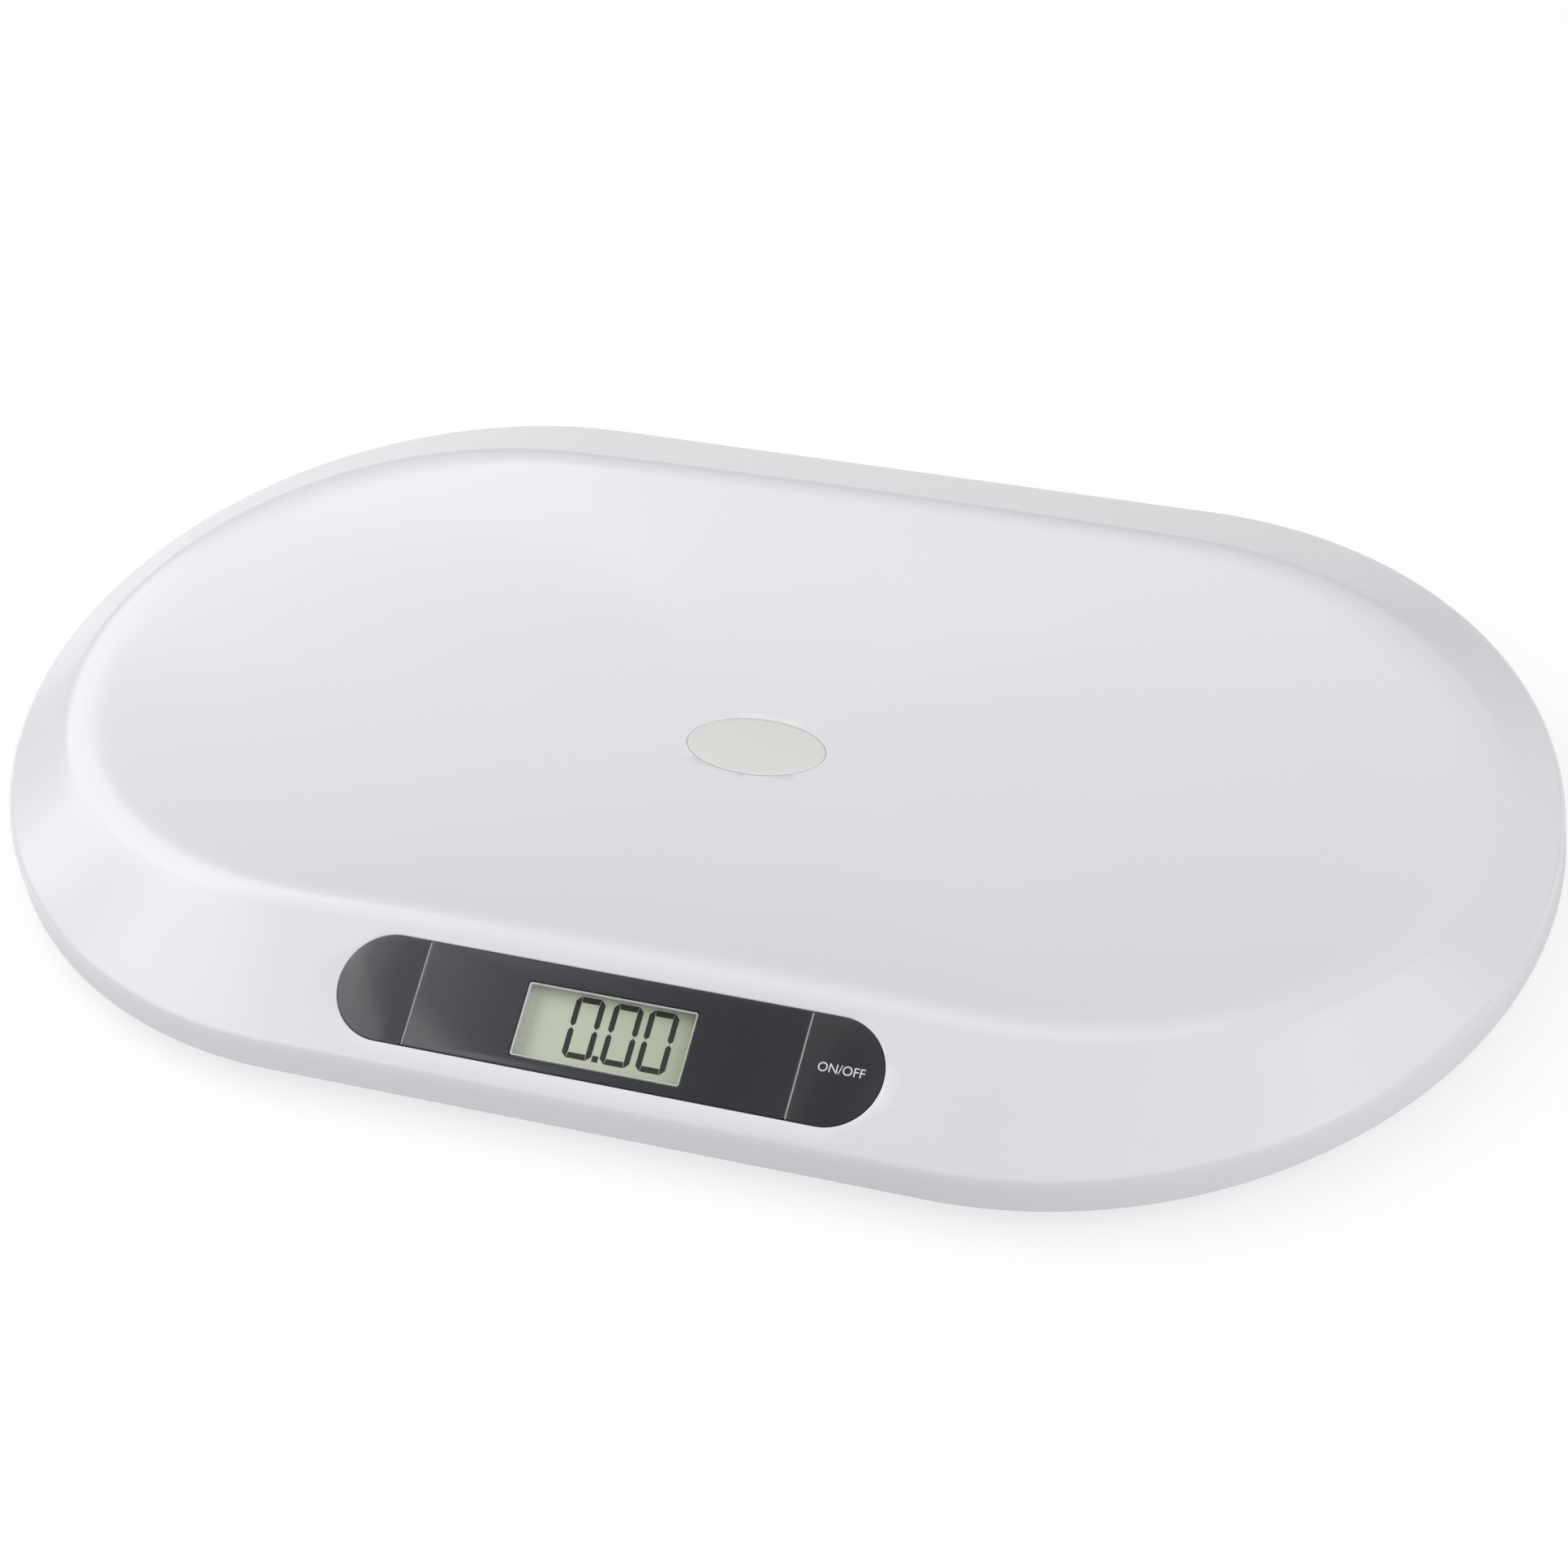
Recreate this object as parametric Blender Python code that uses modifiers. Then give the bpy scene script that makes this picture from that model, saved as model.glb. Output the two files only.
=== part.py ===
"""Digital baby weighing scale: an oval dished tray on four weighing feet, with a sloped display panel.

The origin is on the table under the middle of the tray. X runs along the tray, the panel is on
the -Y side, and Z is up. All sizes are in metres.
"""
import math

import bmesh
import bpy
from mathutils import Matrix, Vector

# Tray outline and height
TRAY_WIDTH = 0.320
WALL = 0.0025
STAND_HEIGHT = 0.010
SKIRT_HEIGHT = 0.0142
EDGE_RADIUS = 0.004

# Sloping deck between the rim and the crest, and the dish inside the crest
DECK_ANGLE = math.radians(25.0)
DECK_BACK_WIDTH = 0.040
DECK_END_WIDTH = 0.022
CREST_SIDE_GROWTH = 0.003
CREST_END_RISE = 0.0112
CREST_FRONT_BULGE = 0.65
CREST_SOFTNESS = 0.006
DISH_FLOOR_RISE = 0.0062
DISH_POWER = 2.2

# Clearances shared by every fit
GAP = 0.0003
SLIDE_GAP = 0.0006
OVERRUN = 0.002
EMBED = 0.0006

# Oval inlay in the middle of the dish
BADGE_LENGTH = 0.050
BADGE_WIDTH = 0.0265
BADGE_SUNK = 0.0007
BADGE_PROUD = 0.0004
BADGE_PLACE = 0.0013

# Base cover and its fixings
BASE_WALL = 0.0022
BASE_LIP_HEIGHT = 0.0045
BASE_LIP_WALL = 0.0018
SCREW_INSET = 0.022
SCREW_WELL_RADIUS = 0.0055
SCREW_WELL_TOP = 0.0062
SCREW_HEAD_RADIUS = 0.0031
SCREW_HEAD_HEIGHT = 0.0018
SCREW_WELL_SHOULDER = 0.0031
SCREW_SHANK_RADIUS = 0.00145
SCREW_LENGTH = 0.012
BOSS_WALL = 0.0026

# Weighing feet
FOOT_OVERHANG = 0.050
FOOT_INSET = 0.070
FOOT_RADIUS = 0.018
FOOT_CHAMFER = 0.0015
FOOT_LIFT = 0.0009
FOOT_FLANGE_WIDTH = 0.0025
FOOT_FLANGE_HEIGHT = 0.001
FOOT_POST_RADIUS = 0.004
FOOT_POST_HEIGHT = 0.0017
FOOT_TRAVEL = 0.0005
PAD_RADIUS = 0.015
PAD_SUNK = 0.001
PAD_EDGE = 0.0004

# Load cells and their brackets
CELL_SIZE = 0.034
CELL_THICKNESS = 0.002
CELL_CORNER = 0.003
CELL_SLOT = 0.0022
CELL_TONGUE_WIDTH = 0.014
CELL_TONGUE_REACH = 0.011
CELL_TONGUE_ROOT = 0.009
GAUGE_LENGTH = 0.008
GAUGE_WIDTH = 0.0045
GAUGE_HEIGHT = 0.0008
GAUGE_PLACE = 0.0125
BRACKET_WALL = 0.003
BRACKET_ROOF = 0.002
BRACKET_PAD_HEIGHT = 0.0015
BRACKET_PAD_WIDTH = 0.004
BRACKET_EAR = 0.011
BRACKET_EAR_HEIGHT = 0.0025
BRACKET_BOSS_RADIUS = 0.0034
BRACKET_BOSS_HEIGHT = 0.0035
STAKE_RADIUS = 0.0016
STAKE_HEAD_RADIUS = 0.0030
STAKE_HEAD_HEIGHT = 0.0012

# Batteries, their bay and its door
BATTERY_COUNT = 4
BATTERY_RADIUS = 0.00525
BATTERY_LENGTH = 0.0445
BATTERY_NUB_RADIUS = 0.0019
BATTERY_NUB_LENGTH = 0.001
BATTERY_SPACING_GAP = 0.0005
BAY_WALL = 0.0015
CONTACT_THICKNESS = 0.0004
CONTACT_BUMP_RADIUS = 0.0022
CONTACT_BUMP_HEIGHT = 0.0008
SPRING_LENGTH = 0.0036
SPRING_WIRE = 0.0003
SPRING_BASE_RADIUS = 0.0034
SPRING_TIP_RADIUS = 0.0018
SPRING_TURNS = 3
CONTACT_HEIGHT = 0.008
DOOR_THICKNESS = 0.002
DOOR_MARGIN = 0.002
DOOR_PIN_RADIUS = 0.0005
DOOR_PIN_LENGTH = 0.0016
DOOR_LATCH_LENGTH = 0.014
DOOR_LATCH_SLIT = 0.001
DOOR_LATCH_REACH = 0.009
DOOR_GRIP_WIDTH = 0.001
DOOR_GRIP_PITCH = 0.002
DOOR_GRIP_DEPTH = 0.0006
DOOR_GRIP_COUNT = 3
BLOCK_WALL = 0.003

# Display panel, measured along its own slope
PANEL_LENGTH = 0.190
PANEL_WIDTH = 0.036
PANEL_END_MARGIN = 0.020
PANEL_RIM_MARGIN = 0.0078
PANEL_CREST_MARGIN = 0.0086
PANEL_THICKNESS = 0.002
PANEL_EDGE = 0.0002
BUTTON_LENGTH = 0.028
FASCIA_CORNER = 0.001
BUTTON_SPLIT = 0.0006
BUTTON_TRAVEL = 0.0005
BUTTON_POST_RADIUS = 0.0025
WINDOW_LENGTH = 0.059
WINDOW_SIDE_MARGIN = 0.0055
WINDOW_SHIFT = -0.00165
WINDOW_CORNER = 0.0008
LENS_THICKNESS = 0.0009
LENS_MARGIN = 0.002

# Carrier under the panel, and the display behind it
CARRIER_MARGIN = 0.003
CARRIER_THICKNESS = 0.0015
LEDGE_INSET = 0.001
CARRIER_STAKE_MARGIN = 0.0042
CARRIER_EAR_RADIUS = 0.0037
LCD_LENGTH = 0.063
LCD_SIDE_MARGIN = 0.00175
LCD_THICKNESS = 0.0018
HOLDER_WALL = 0.0012
HOLDER_HEIGHT = 0.0030
HOLDER_LEDGE = 0.0009
ZEBRA_WIDTH = 0.0018
BOARD_END_MARGIN = 0.011
BOARD_SIDE_MARGIN = 0.002
BOARD_SHIFT = -0.0008
BOARD_THICKNESS = 0.0012
BOARD_STAKE_X = 0.050
BOARD_STAKE_INSET = 0.0055
BOARD_POST_RADIUS = 0.0028
SWITCH_SIZE = 0.006
PLUNGER_RADIUS = 0.0016
PLUNGER_PROUD = 0.0012
PLUNGER_SUNK = 0.0012
CHIP_SIZE = 0.010
CHIP_HEIGHT = 0.0016
CHIP_PLACE = 0.003
CRYSTAL_LENGTH = 0.008
CRYSTAL_RADIUS = 0.0014
CRYSTAL_PLACE = (0.016, 0.004)

# Leads from the load cells and the battery bay to the board
CELL_LEAD_RADIUS = 0.0009
BATTERY_LEAD_RADIUS = 0.0007
LEAD_NOTCH = 0.002
LEAD_STEPS = 18
CELL_LEAD_FRONT_PAD = (0.060, 0.010)
CELL_LEAD_REAR_PAD = (0.042, 0.012)
CELL_LEAD_AISLE = 0.060
CELL_LEAD_BEND = 0.020
BATTERY_LEAD_PAD = (0.008, 0.012)
LEAD_RISE = 0.007
LEAD_LIFT = 0.0011

# Steps round the turned and curved shapes
END_STEPS = 28
SIDE_STEPS = 8
DISH_STEPS = 6
ROUND_STEPS = 16
FINE_STEPS = 24
SCREW_STEPS = 8
EDGE_ARC_STEPS = 2
CORNER_STEPS = 3
SPRING_STEPS = 8
EPSILON = 1e-6

# Sizes worked out from the ones above
HALF_WIDTH = TRAY_WIDTH / 2
HALF_STRAIGHT = PANEL_LENGTH / 2 + PANEL_END_MARGIN
HALF_LENGTH = HALF_STRAIGHT + HALF_WIDTH
FOOT_X = HALF_STRAIGHT + FOOT_OVERHANG
FOOT_Y = HALF_WIDTH - FOOT_INSET
FASCIA_LENGTH = PANEL_LENGTH - 2 * BUTTON_LENGTH
SWITCH_PLACE = (PANEL_LENGTH - PANEL_WIDTH) / 2
WINDOW_WIDTH = PANEL_WIDTH - 2 * WINDOW_SIDE_MARGIN
LCD_WIDTH = WINDOW_WIDTH + 2 * LCD_SIDE_MARGIN
BOARD_LENGTH = PANEL_LENGTH - 2 * BOARD_END_MARGIN
BOARD_WIDTH = PANEL_WIDTH - 2 * BOARD_SIDE_MARGIN
BOARD_STAKE_Y = BOARD_WIDTH / 2 - BOARD_STAKE_INSET
RIM_Z = STAND_HEIGHT + SKIRT_HEIGHT
BASE_TOP = STAND_HEIGHT + BASE_WALL
PANEL_PLACE = PANEL_RIM_MARGIN + PANEL_WIDTH / 2 * math.cos(DECK_ANGLE)
DECK_FRONT_WIDTH = (PANEL_PLACE + PANEL_WIDTH / 2 * math.cos(DECK_ANGLE)
                    + PANEL_CREST_MARGIN)
DECK_START_INSET = EDGE_RADIUS * (1 - math.sin(DECK_ANGLE))
DECK_START_Z = RIM_Z - EDGE_RADIUS * (1 - math.cos(DECK_ANGLE))
CREST_HALF_LENGTH = HALF_LENGTH - DECK_END_WIDTH
CREST_HALF_WIDTH = HALF_WIDTH - (DECK_FRONT_WIDTH + DECK_BACK_WIDTH) / 2
CREST_SHIFT = (DECK_FRONT_WIDTH - DECK_BACK_WIDTH) / 2
CREST_HALF_STRAIGHT = HALF_STRAIGHT + CREST_SIDE_GROWTH
CREST_SIDE_RISE = (DECK_START_Z - RIM_Z
                   + (DECK_FRONT_WIDTH - DECK_START_INSET) * math.tan(DECK_ANGLE))

# Heights in the feet, from the table up
FLANGE_BOTTOM = BASE_TOP + GAP
FLANGE_TOP = FLANGE_BOTTOM + FOOT_FLANGE_HEIGHT
POST_TOP = FLANGE_TOP + FOOT_POST_HEIGHT
CELL_BOTTOM = POST_TOP + GAP
CELL_TOP = CELL_BOTTOM + CELL_THICKNESS
BRACKET_BOTTOM = BASE_TOP + GAP
BRACKET_CEILING = CELL_TOP + GAP + BRACKET_PAD_HEIGHT
BRACKET_TOP = BRACKET_CEILING + BRACKET_ROOF
FLANGE_RADIUS = FOOT_RADIUS + FOOT_FLANGE_WIDTH

# Heights in the battery bay, from the table up
DOOR_TOP = STAND_HEIGHT + DOOR_THICKNESS
BATTERY_Z = DOOR_TOP + GAP + BATTERY_RADIUS
BAY_CEILING = BATTERY_Z + BATTERY_RADIUS + GAP
BAY_TOP = BAY_CEILING + BAY_WALL
BATTERY_PITCH = 2 * BATTERY_RADIUS + BATTERY_SPACING_GAP
BAY_HALF_LENGTH = BATTERY_COUNT * BATTERY_PITCH / 2
CONTACT_ROOM = CONTACT_THICKNESS + 2 * GAP
BAY_HALF_WIDTH = (BATTERY_LENGTH + 2 * CONTACT_ROOM + SPRING_LENGTH + GAP + CONTACT_BUMP_HEIGHT) / 2
DOOR_HALF_LENGTH = BAY_HALF_LENGTH + DOOR_MARGIN
DOOR_HALF_WIDTH = BAY_HALF_WIDTH + DOOR_MARGIN

# Levels in the panel, along its normal, down from the deck's surface
LENS_TOP = -PANEL_THICKNESS + LENS_THICKNESS
CARRIER_TOP = -WALL - GAP
CARRIER_BOTTOM = CARRIER_TOP - CARRIER_THICKNESS
LCD_TOP = CARRIER_BOTTOM - GAP
LCD_BOTTOM = LCD_TOP - LCD_THICKNESS
HOLDER_TOP = LCD_TOP
HOLDER_BOTTOM = HOLDER_TOP - HOLDER_HEIGHT
BOARD_TOP = HOLDER_BOTTOM - GAP
BOARD_BOTTOM = BOARD_TOP - BOARD_THICKNESS
PARTS_TOP = BOARD_BOTTOM - GAP
LEAD_TOP = BOARD_BOTTOM - 2 * GAP
SWITCH_TOP = CARRIER_BOTTOM - GAP
PLUNGER_TOP = SWITCH_TOP + PLUNGER_PROUD
PLUNGER_BOTTOM = SWITCH_TOP - PLUNGER_SUNK
POST_BOTTOM = PLUNGER_TOP + GAP

PART = None
CUTTERS = None


def clear_scene():
    """Empties the scene and makes the two collections."""
    global PART, CUTTERS
    for old in list(bpy.data.objects):
        bpy.data.objects.remove(old, do_unlink=True)
    PART = bpy.data.collections.new("baby_weighing_scale")
    CUTTERS = bpy.data.collections.new("cutters")
    for group in (PART, CUTTERS):
        bpy.context.scene.collection.children.link(group)


def material(name, colour, roughness, metallic=0.0, transmission=0.0):
    """A Principled material, made once for each name."""
    made = bpy.data.materials.get(name)
    if made is None:
        made = bpy.data.materials.new(name)
        made.use_nodes = True
        shader = made.node_tree.nodes["Principled BSDF"]
        shader.inputs["Base Color"].default_value = (*colour, 1.0)
        shader.inputs["Roughness"].default_value = roughness
        shader.inputs["Metallic"].default_value = metallic
        shader.inputs["Transmission Weight"].default_value = transmission
        made.diffuse_color = (*colour, 1.0)
    return made


def white_plastic():
    return material("gloss_white_abs", (0.80, 0.80, 0.82), 0.22)


def base_plastic():
    return material("matte_white_abs", (0.74, 0.74, 0.76), 0.45)


def dark_gloss():
    return material("dark_gloss_acrylic", (0.045, 0.045, 0.052), 0.12)


def clear_acrylic():
    return material("clear_acrylic", (0.92, 0.94, 0.92), 0.05, 0.0, 0.9)


def display_glass():
    return material("display_glass", (0.50, 0.55, 0.42), 0.20)


def grey_rubber():
    return material("grey_rubber", (0.30, 0.30, 0.31), 0.80)


def bare_steel():
    return material("bare_steel", (0.62, 0.62, 0.63), 0.35, 1.0)


def nickel():
    return material("nickel_plate", (0.70, 0.68, 0.62), 0.25, 1.0)


def board_green():
    return material("board_green", (0.03, 0.20, 0.09), 0.40)


def black_plastic():
    return material("black_plastic", (0.03, 0.03, 0.03), 0.50)


def gauge_epoxy():
    return material("gauge_epoxy", (0.75, 0.70, 0.55), 0.50)


def badge_plastic():
    return material("badge_warm_white", (0.72, 0.72, 0.70), 0.35)


def battery_wrap():
    return material("battery_wrap", (0.10, 0.16, 0.30), 0.35, 0.3)


def lead_sleeve(colour_name, colour):
    return material("lead_" + colour_name, colour, 0.50)


def add_object(name, mesh, finish=None, group=None):
    """Links a mesh as an object, with its material."""
    made = bpy.data.objects.new(name, mesh)
    (group or PART).objects.link(made)
    mesh.materials.clear()
    if finish:
        mesh.materials.append(finish)
    return made


def cutter(name, mesh):
    """A hidden wire object for a Boolean."""
    made = add_object(name, mesh, group=CUTTERS)
    made.hide_render = True
    made.display_type = "WIRE"
    return made


def combine(target, tool, how):
    """Adds or takes away a mesh, which becomes a hidden cutter."""
    helper = cutter(target.name + "_" + how.lower() + "_" + str(len(target.modifiers)), tool)
    helper.parent = target.parent
    step = target.modifiers.new(how.title(), "BOOLEAN")
    step.operation = how
    step.object = helper
    return helper


def union_object(target, helper):
    """Adds an object that is already a hidden tool."""
    step = target.modifiers.new("Union", "BOOLEAN")
    step.operation = "UNION"
    step.object = helper


def smooth(made, angle=math.radians(35.0)):
    """Shades a mesh smooth, but for its sharp edges."""
    made.data.shade_smooth()
    made.data.set_sharp_from_angle(angle=angle)


def mesh_from(shape, name):
    """Ends a bmesh as a mesh."""
    bmesh.ops.recalc_face_normals(shape, faces=shape.faces)
    mesh = bpy.data.meshes.new(name)
    shape.to_mesh(mesh)
    shape.free()
    return mesh


def box_mesh(name, low, high):
    """A box between two corners."""
    shape = bmesh.new()
    bmesh.ops.create_cube(shape, size=1.0)
    size = [b - a for a, b in zip(low, high)]
    middle = [(a + b) / 2 for a, b in zip(low, high)]
    bmesh.ops.scale(shape, vec=size, verts=shape.verts)
    bmesh.ops.translate(shape, vec=middle, verts=shape.verts)
    return mesh_from(shape, name)


def rod_mesh(name, radius, low, high, place=(0, 0), steps=ROUND_STEPS, axis="Z"):
    """A round rod between two levels of one axis; place gives its other two coordinates."""
    shape = bmesh.new()
    bmesh.ops.create_cone(shape, cap_ends=True, segments=steps, radius1=radius, radius2=radius,
                          depth=high - low)
    middle = (low + high) / 2
    if axis == "Z":
        move = Matrix.Translation((place[0], place[1], middle))
    elif axis == "Y":
        move = Matrix.Translation((place[0], middle, place[1])) @ Matrix.Rotation(math.pi / 2, 4, "X")
    else:
        move = Matrix.Translation((middle, place[0], place[1])) @ Matrix.Rotation(math.pi / 2, 4, "Y")
    bmesh.ops.transform(shape, matrix=move, verts=shape.verts)
    return mesh_from(shape, name)


def joined_mesh(name, meshes):
    """Puts several separate closed shapes in one mesh."""
    shape = bmesh.new()
    for mesh in meshes:
        shape.from_mesh(mesh)
        bpy.data.meshes.remove(mesh)
    return mesh_from(shape, name)


def plate_mesh(name, outlines, low, high):
    """A flat plate between two levels. The first outline is its edge and the others are holes."""
    curve = bpy.data.curves.new(name, "CURVE")
    curve.dimensions = "2D"
    curve.fill_mode = "BOTH"
    curve.extrude = (high - low) / 2
    for outline in outlines:
        spline = curve.splines.new("POLY")
        spline.points.add(len(outline) - 1)
        for point, (x, y) in zip(spline.points, outline):
            point.co = (x, y, 0.0, 1.0)
        spline.use_cyclic_u = True
    return mesh_of_curve(name, curve, (low + high) / 2)


def mesh_of_curve(name, curve, lift=0.0):
    """Turns a curve into a welded mesh and removes the curve."""
    holder = bpy.data.objects.new(name, curve)
    bpy.context.scene.collection.objects.link(holder)
    seen = holder.evaluated_get(bpy.context.evaluated_depsgraph_get())
    mesh = bpy.data.meshes.new_from_object(seen)
    bpy.data.objects.remove(holder, do_unlink=True)
    bpy.data.curves.remove(curve)
    shape = bmesh.new()
    shape.from_mesh(mesh)
    bpy.data.meshes.remove(mesh)
    bmesh.ops.remove_doubles(shape, verts=shape.verts, dist=GAP / 10)
    bmesh.ops.translate(shape, vec=(0, 0, lift), verts=shape.verts)
    return mesh_from(shape, name)


def turned(name, profile, finish, place=(0, 0, 0), steps=ROUND_STEPS):
    """A solid turned about its own Z axis. The profile runs down its outer side."""
    mesh = bpy.data.meshes.new(name)
    points = [(radius, 0.0, height) for radius, height in profile]
    mesh.from_pydata(points, [(i, i + 1) for i in range(len(points) - 1)], [])
    made = add_object(name, mesh, finish)
    made.location = place
    spin = made.modifiers.new("Turn", "SCREW")
    spin.steps = steps
    spin.render_steps = steps
    spin.use_merge_vertices = True
    spin.merge_threshold = GAP / 10
    spin.use_smooth_shade = False
    return made


def circle_outline(radius, place=(0, 0), steps=ROUND_STEPS):
    """Points round a circle."""
    turns = [2 * math.pi * i / steps for i in range(steps)]
    return [(place[0] + radius * math.cos(a), place[1] + radius * math.sin(a)) for a in turns]


def rounded_outline(half_x, half_y, corner, place=(0, 0), corner_steps=3):
    """A rectangle with rounded corners, anticlockwise."""
    points = []
    for quarter, (sx, sy) in enumerate(((1, 1), (-1, 1), (-1, -1), (1, -1))):
        for i in range(corner_steps + 1):
            a = math.pi / 2 * (quarter + i / corner_steps)
            points.append((place[0] + sx * (half_x - corner) + corner * math.cos(a),
                           place[1] + sy * (half_y - corner) + corner * math.sin(a)))
    return points


def oval_shares(end_steps, side_steps):
    """Places round an oval: share along the straight run, then the end arc's cosine and sine."""
    shares = []
    for end in (1, -1):
        for i in range(end_steps):
            a = math.pi * (i / end_steps - 0.5)
            shares.append((end, end * math.cos(a), end * math.sin(a)))
        for i in range(side_steps):
            shares.append((end * (1 - 2 * i / side_steps), 0.0, end))
    return shares


def oval_outline(inset, end_steps=END_STEPS, side_steps=1):
    """The tray's outline, drawn in by an inset."""
    reach = HALF_WIDTH - inset
    shares = oval_shares(end_steps, side_steps)
    return [(side * HALF_STRAIGHT + reach * c, reach * s) for side, c, s in shares]


def stadium_outline(half_length, half_width, end_steps=FINE_STEPS // 2):
    """A slot shape with half-round ends."""
    straight = half_length - half_width
    return [(side * straight + half_width * c, half_width * s) for side, c, s in oval_shares(end_steps, 1)]


def rim_ring(inset, height):
    """One level ring of the skirt and edge."""
    reach = HALF_WIDTH - inset
    return [Vector((side * HALF_STRAIGHT + reach * c, reach * s, height))
            for side, c, s in oval_shares(END_STEPS, SIDE_STEPS)]


def crest_ring():
    """The line where the deck turns over into the dish. It drops towards the ends."""
    ring = []
    end_reach = CREST_HALF_LENGTH - CREST_HALF_STRAIGHT
    for side, c, s in oval_shares(END_STEPS, SIDE_STEPS):
        x = side * CREST_HALF_STRAIGHT + end_reach * c
        drop = (CREST_SIDE_RISE - CREST_END_RISE) * (x / CREST_HALF_LENGTH) ** 2
        front = max(0.0, -s) ** 2
        bulge = front * CREST_FRONT_BULGE * drop
        height = RIM_Z + CREST_SIDE_RISE - drop + front * drop - bulge * math.tan(DECK_ANGLE)
        ring.append(Vector((x, CREST_SHIFT + CREST_HALF_WIDTH * s - bulge, height)))
    return ring


def tray_rings():
    """Rings of the tray's upper surface, from the foot of the skirt to near the middle."""
    rings = [rim_ring(0.0, STAND_HEIGHT)]
    for i in range(EDGE_ARC_STEPS + 1):
        a = i / EDGE_ARC_STEPS * (math.pi / 2 - DECK_ANGLE)
        rings.append(rim_ring(EDGE_RADIUS * (1 - math.cos(a)), RIM_Z - EDGE_RADIUS * (1 - math.sin(a))))
    foot = rings[-1]
    crest = crest_ring()
    middle = Vector((0, CREST_SHIFT, RIM_Z + DISH_FLOOR_RISE))

    def dish_ring(share):
        ring = []
        for point in crest:
            flat = middle.lerp(point, share)
            rise = (point.z - middle.z) * share ** DISH_POWER
            ring.append(Vector((flat.x, flat.y, middle.z + rise)))
        return ring

    outer = [c + (f - c).normalized() * CREST_SOFTNESS for f, c in zip(foot, crest)]
    inner = dish_ring(1 - CREST_SOFTNESS / CREST_HALF_WIDTH)
    rings.append(outer)
    rings.append([(a + 2 * c + b) / 4 for a, c, b in zip(outer, crest, inner)])
    rings.append(inner)
    for i in range(DISH_STEPS - 1):
        rings.append(dish_ring((1 - CREST_SOFTNESS / CREST_HALF_WIDTH) * (1 - (i + 1) / DISH_STEPS)))
    return rings, middle


def tray_surface():
    """The upper surface as an open mesh, lofted ring by ring."""
    rings, middle = tray_rings()
    shape = bmesh.new()
    rows = [[shape.verts.new(point) for point in ring] for ring in rings]
    count = len(rows[0])
    for low, high in zip(rows, rows[1:]):
        for i in range(count):
            shape.faces.new((low[i], low[(i + 1) % count], high[(i + 1) % count], high[i]))
    top = shape.verts.new(middle)
    for i in range(count):
        shape.faces.new((rows[-1][i], rows[-1][(i + 1) % count], top))
    mesh = bpy.data.meshes.new("tray_surface")
    shape.to_mesh(mesh)
    shape.free()
    return mesh


def housing_screw_places():
    """Where the tray is screwed to the base: four along the sides and one at each end."""
    reach = HALF_WIDTH - SCREW_INSET
    places = [(sx * HALF_STRAIGHT, sy * reach) for sx in (-1, 1) for sy in (-1, 1)]
    return places + [(sx * (HALF_STRAIGHT + reach), 0.0) for sx in (-1, 1)]


def foot_places():
    """The four feet by name."""
    return {"front_left": (-FOOT_X, -FOOT_Y), "front_right": (FOOT_X, -FOOT_Y),
            "rear_left": (-FOOT_X, FOOT_Y), "rear_right": (FOOT_X, FOOT_Y)}


def panel_middle():
    """The middle of the panel, on the deck."""
    y = -(HALF_WIDTH - PANEL_PLACE)
    rise = (PANEL_PLACE - DECK_START_INSET) * math.tan(DECK_ANGLE)
    return Vector((0, y, DECK_START_Z + rise))


def panel_empty():
    """The sloped frame that carries every piece of the panel."""
    frame = bpy.data.objects.new("panel_frame", None)
    PART.objects.link(frame)
    frame.location = panel_middle()
    frame.rotation_euler = (DECK_ANGLE, 0, 0)
    return frame


def from_panel(x, y, z):
    """A point of the panel's frame in the world."""
    return panel_middle() + Matrix.Rotation(DECK_ANGLE, 3, "X") @ Vector((x, y, z))


def carrier_stake_places():
    """Stakes that hold the carrier to the underside of the deck."""
    straight = (PANEL_LENGTH - PANEL_WIDTH) / 2
    reach = (PANEL_WIDTH / 2 + CARRIER_STAKE_MARGIN) / math.sqrt(2)
    return [(sx * (straight + reach), sy * reach) for sx in (-1, 1) for sy in (-1, 1)]


def stake_meshes(foot, seat, places):
    """Melted plastic rivets: each post from its foot to the seat it passes through, and its head beyond."""
    way = 1 if seat > foot else -1
    shapes = []
    for place in places:
        ends = sorted((foot, seat + way * (GAP + STAKE_HEAD_HEIGHT / 2)))
        shapes.append(rod_mesh("post", STAKE_RADIUS, ends[0], ends[1], place, SCREW_STEPS))
    return shapes


def stake_heads(seat, way, places):
    """The heads of the stakes beyond the seat."""
    ends = sorted((seat + way * GAP, seat + way * (GAP + STAKE_HEAD_HEIGHT)))
    return [rod_mesh("head", STAKE_HEAD_RADIUS, ends[0], ends[1], place, SCREW_STEPS) for place in places]


def tray_body(surface):
    """The whole space under the tray's surface, as a closed solid for trimming what hangs from it."""
    shape = bmesh.new()
    shape.from_mesh(surface)
    rim = [edge for edge in shape.edges if edge.is_boundary]
    bmesh.ops.contextual_create(shape, geom=rim)
    bmesh.ops.translate(shape, vec=(0, 0, -WALL / 2), verts=shape.verts)
    return mesh_from(shape, "tray_body")


def screw_shoulder():
    """The level that the housing screws' heads bear on."""
    return STAND_HEIGHT + SCREW_WELL_SHOULDER


def housing_screw_tip():
    return screw_shoulder() - GAP + SCREW_LENGTH


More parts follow.
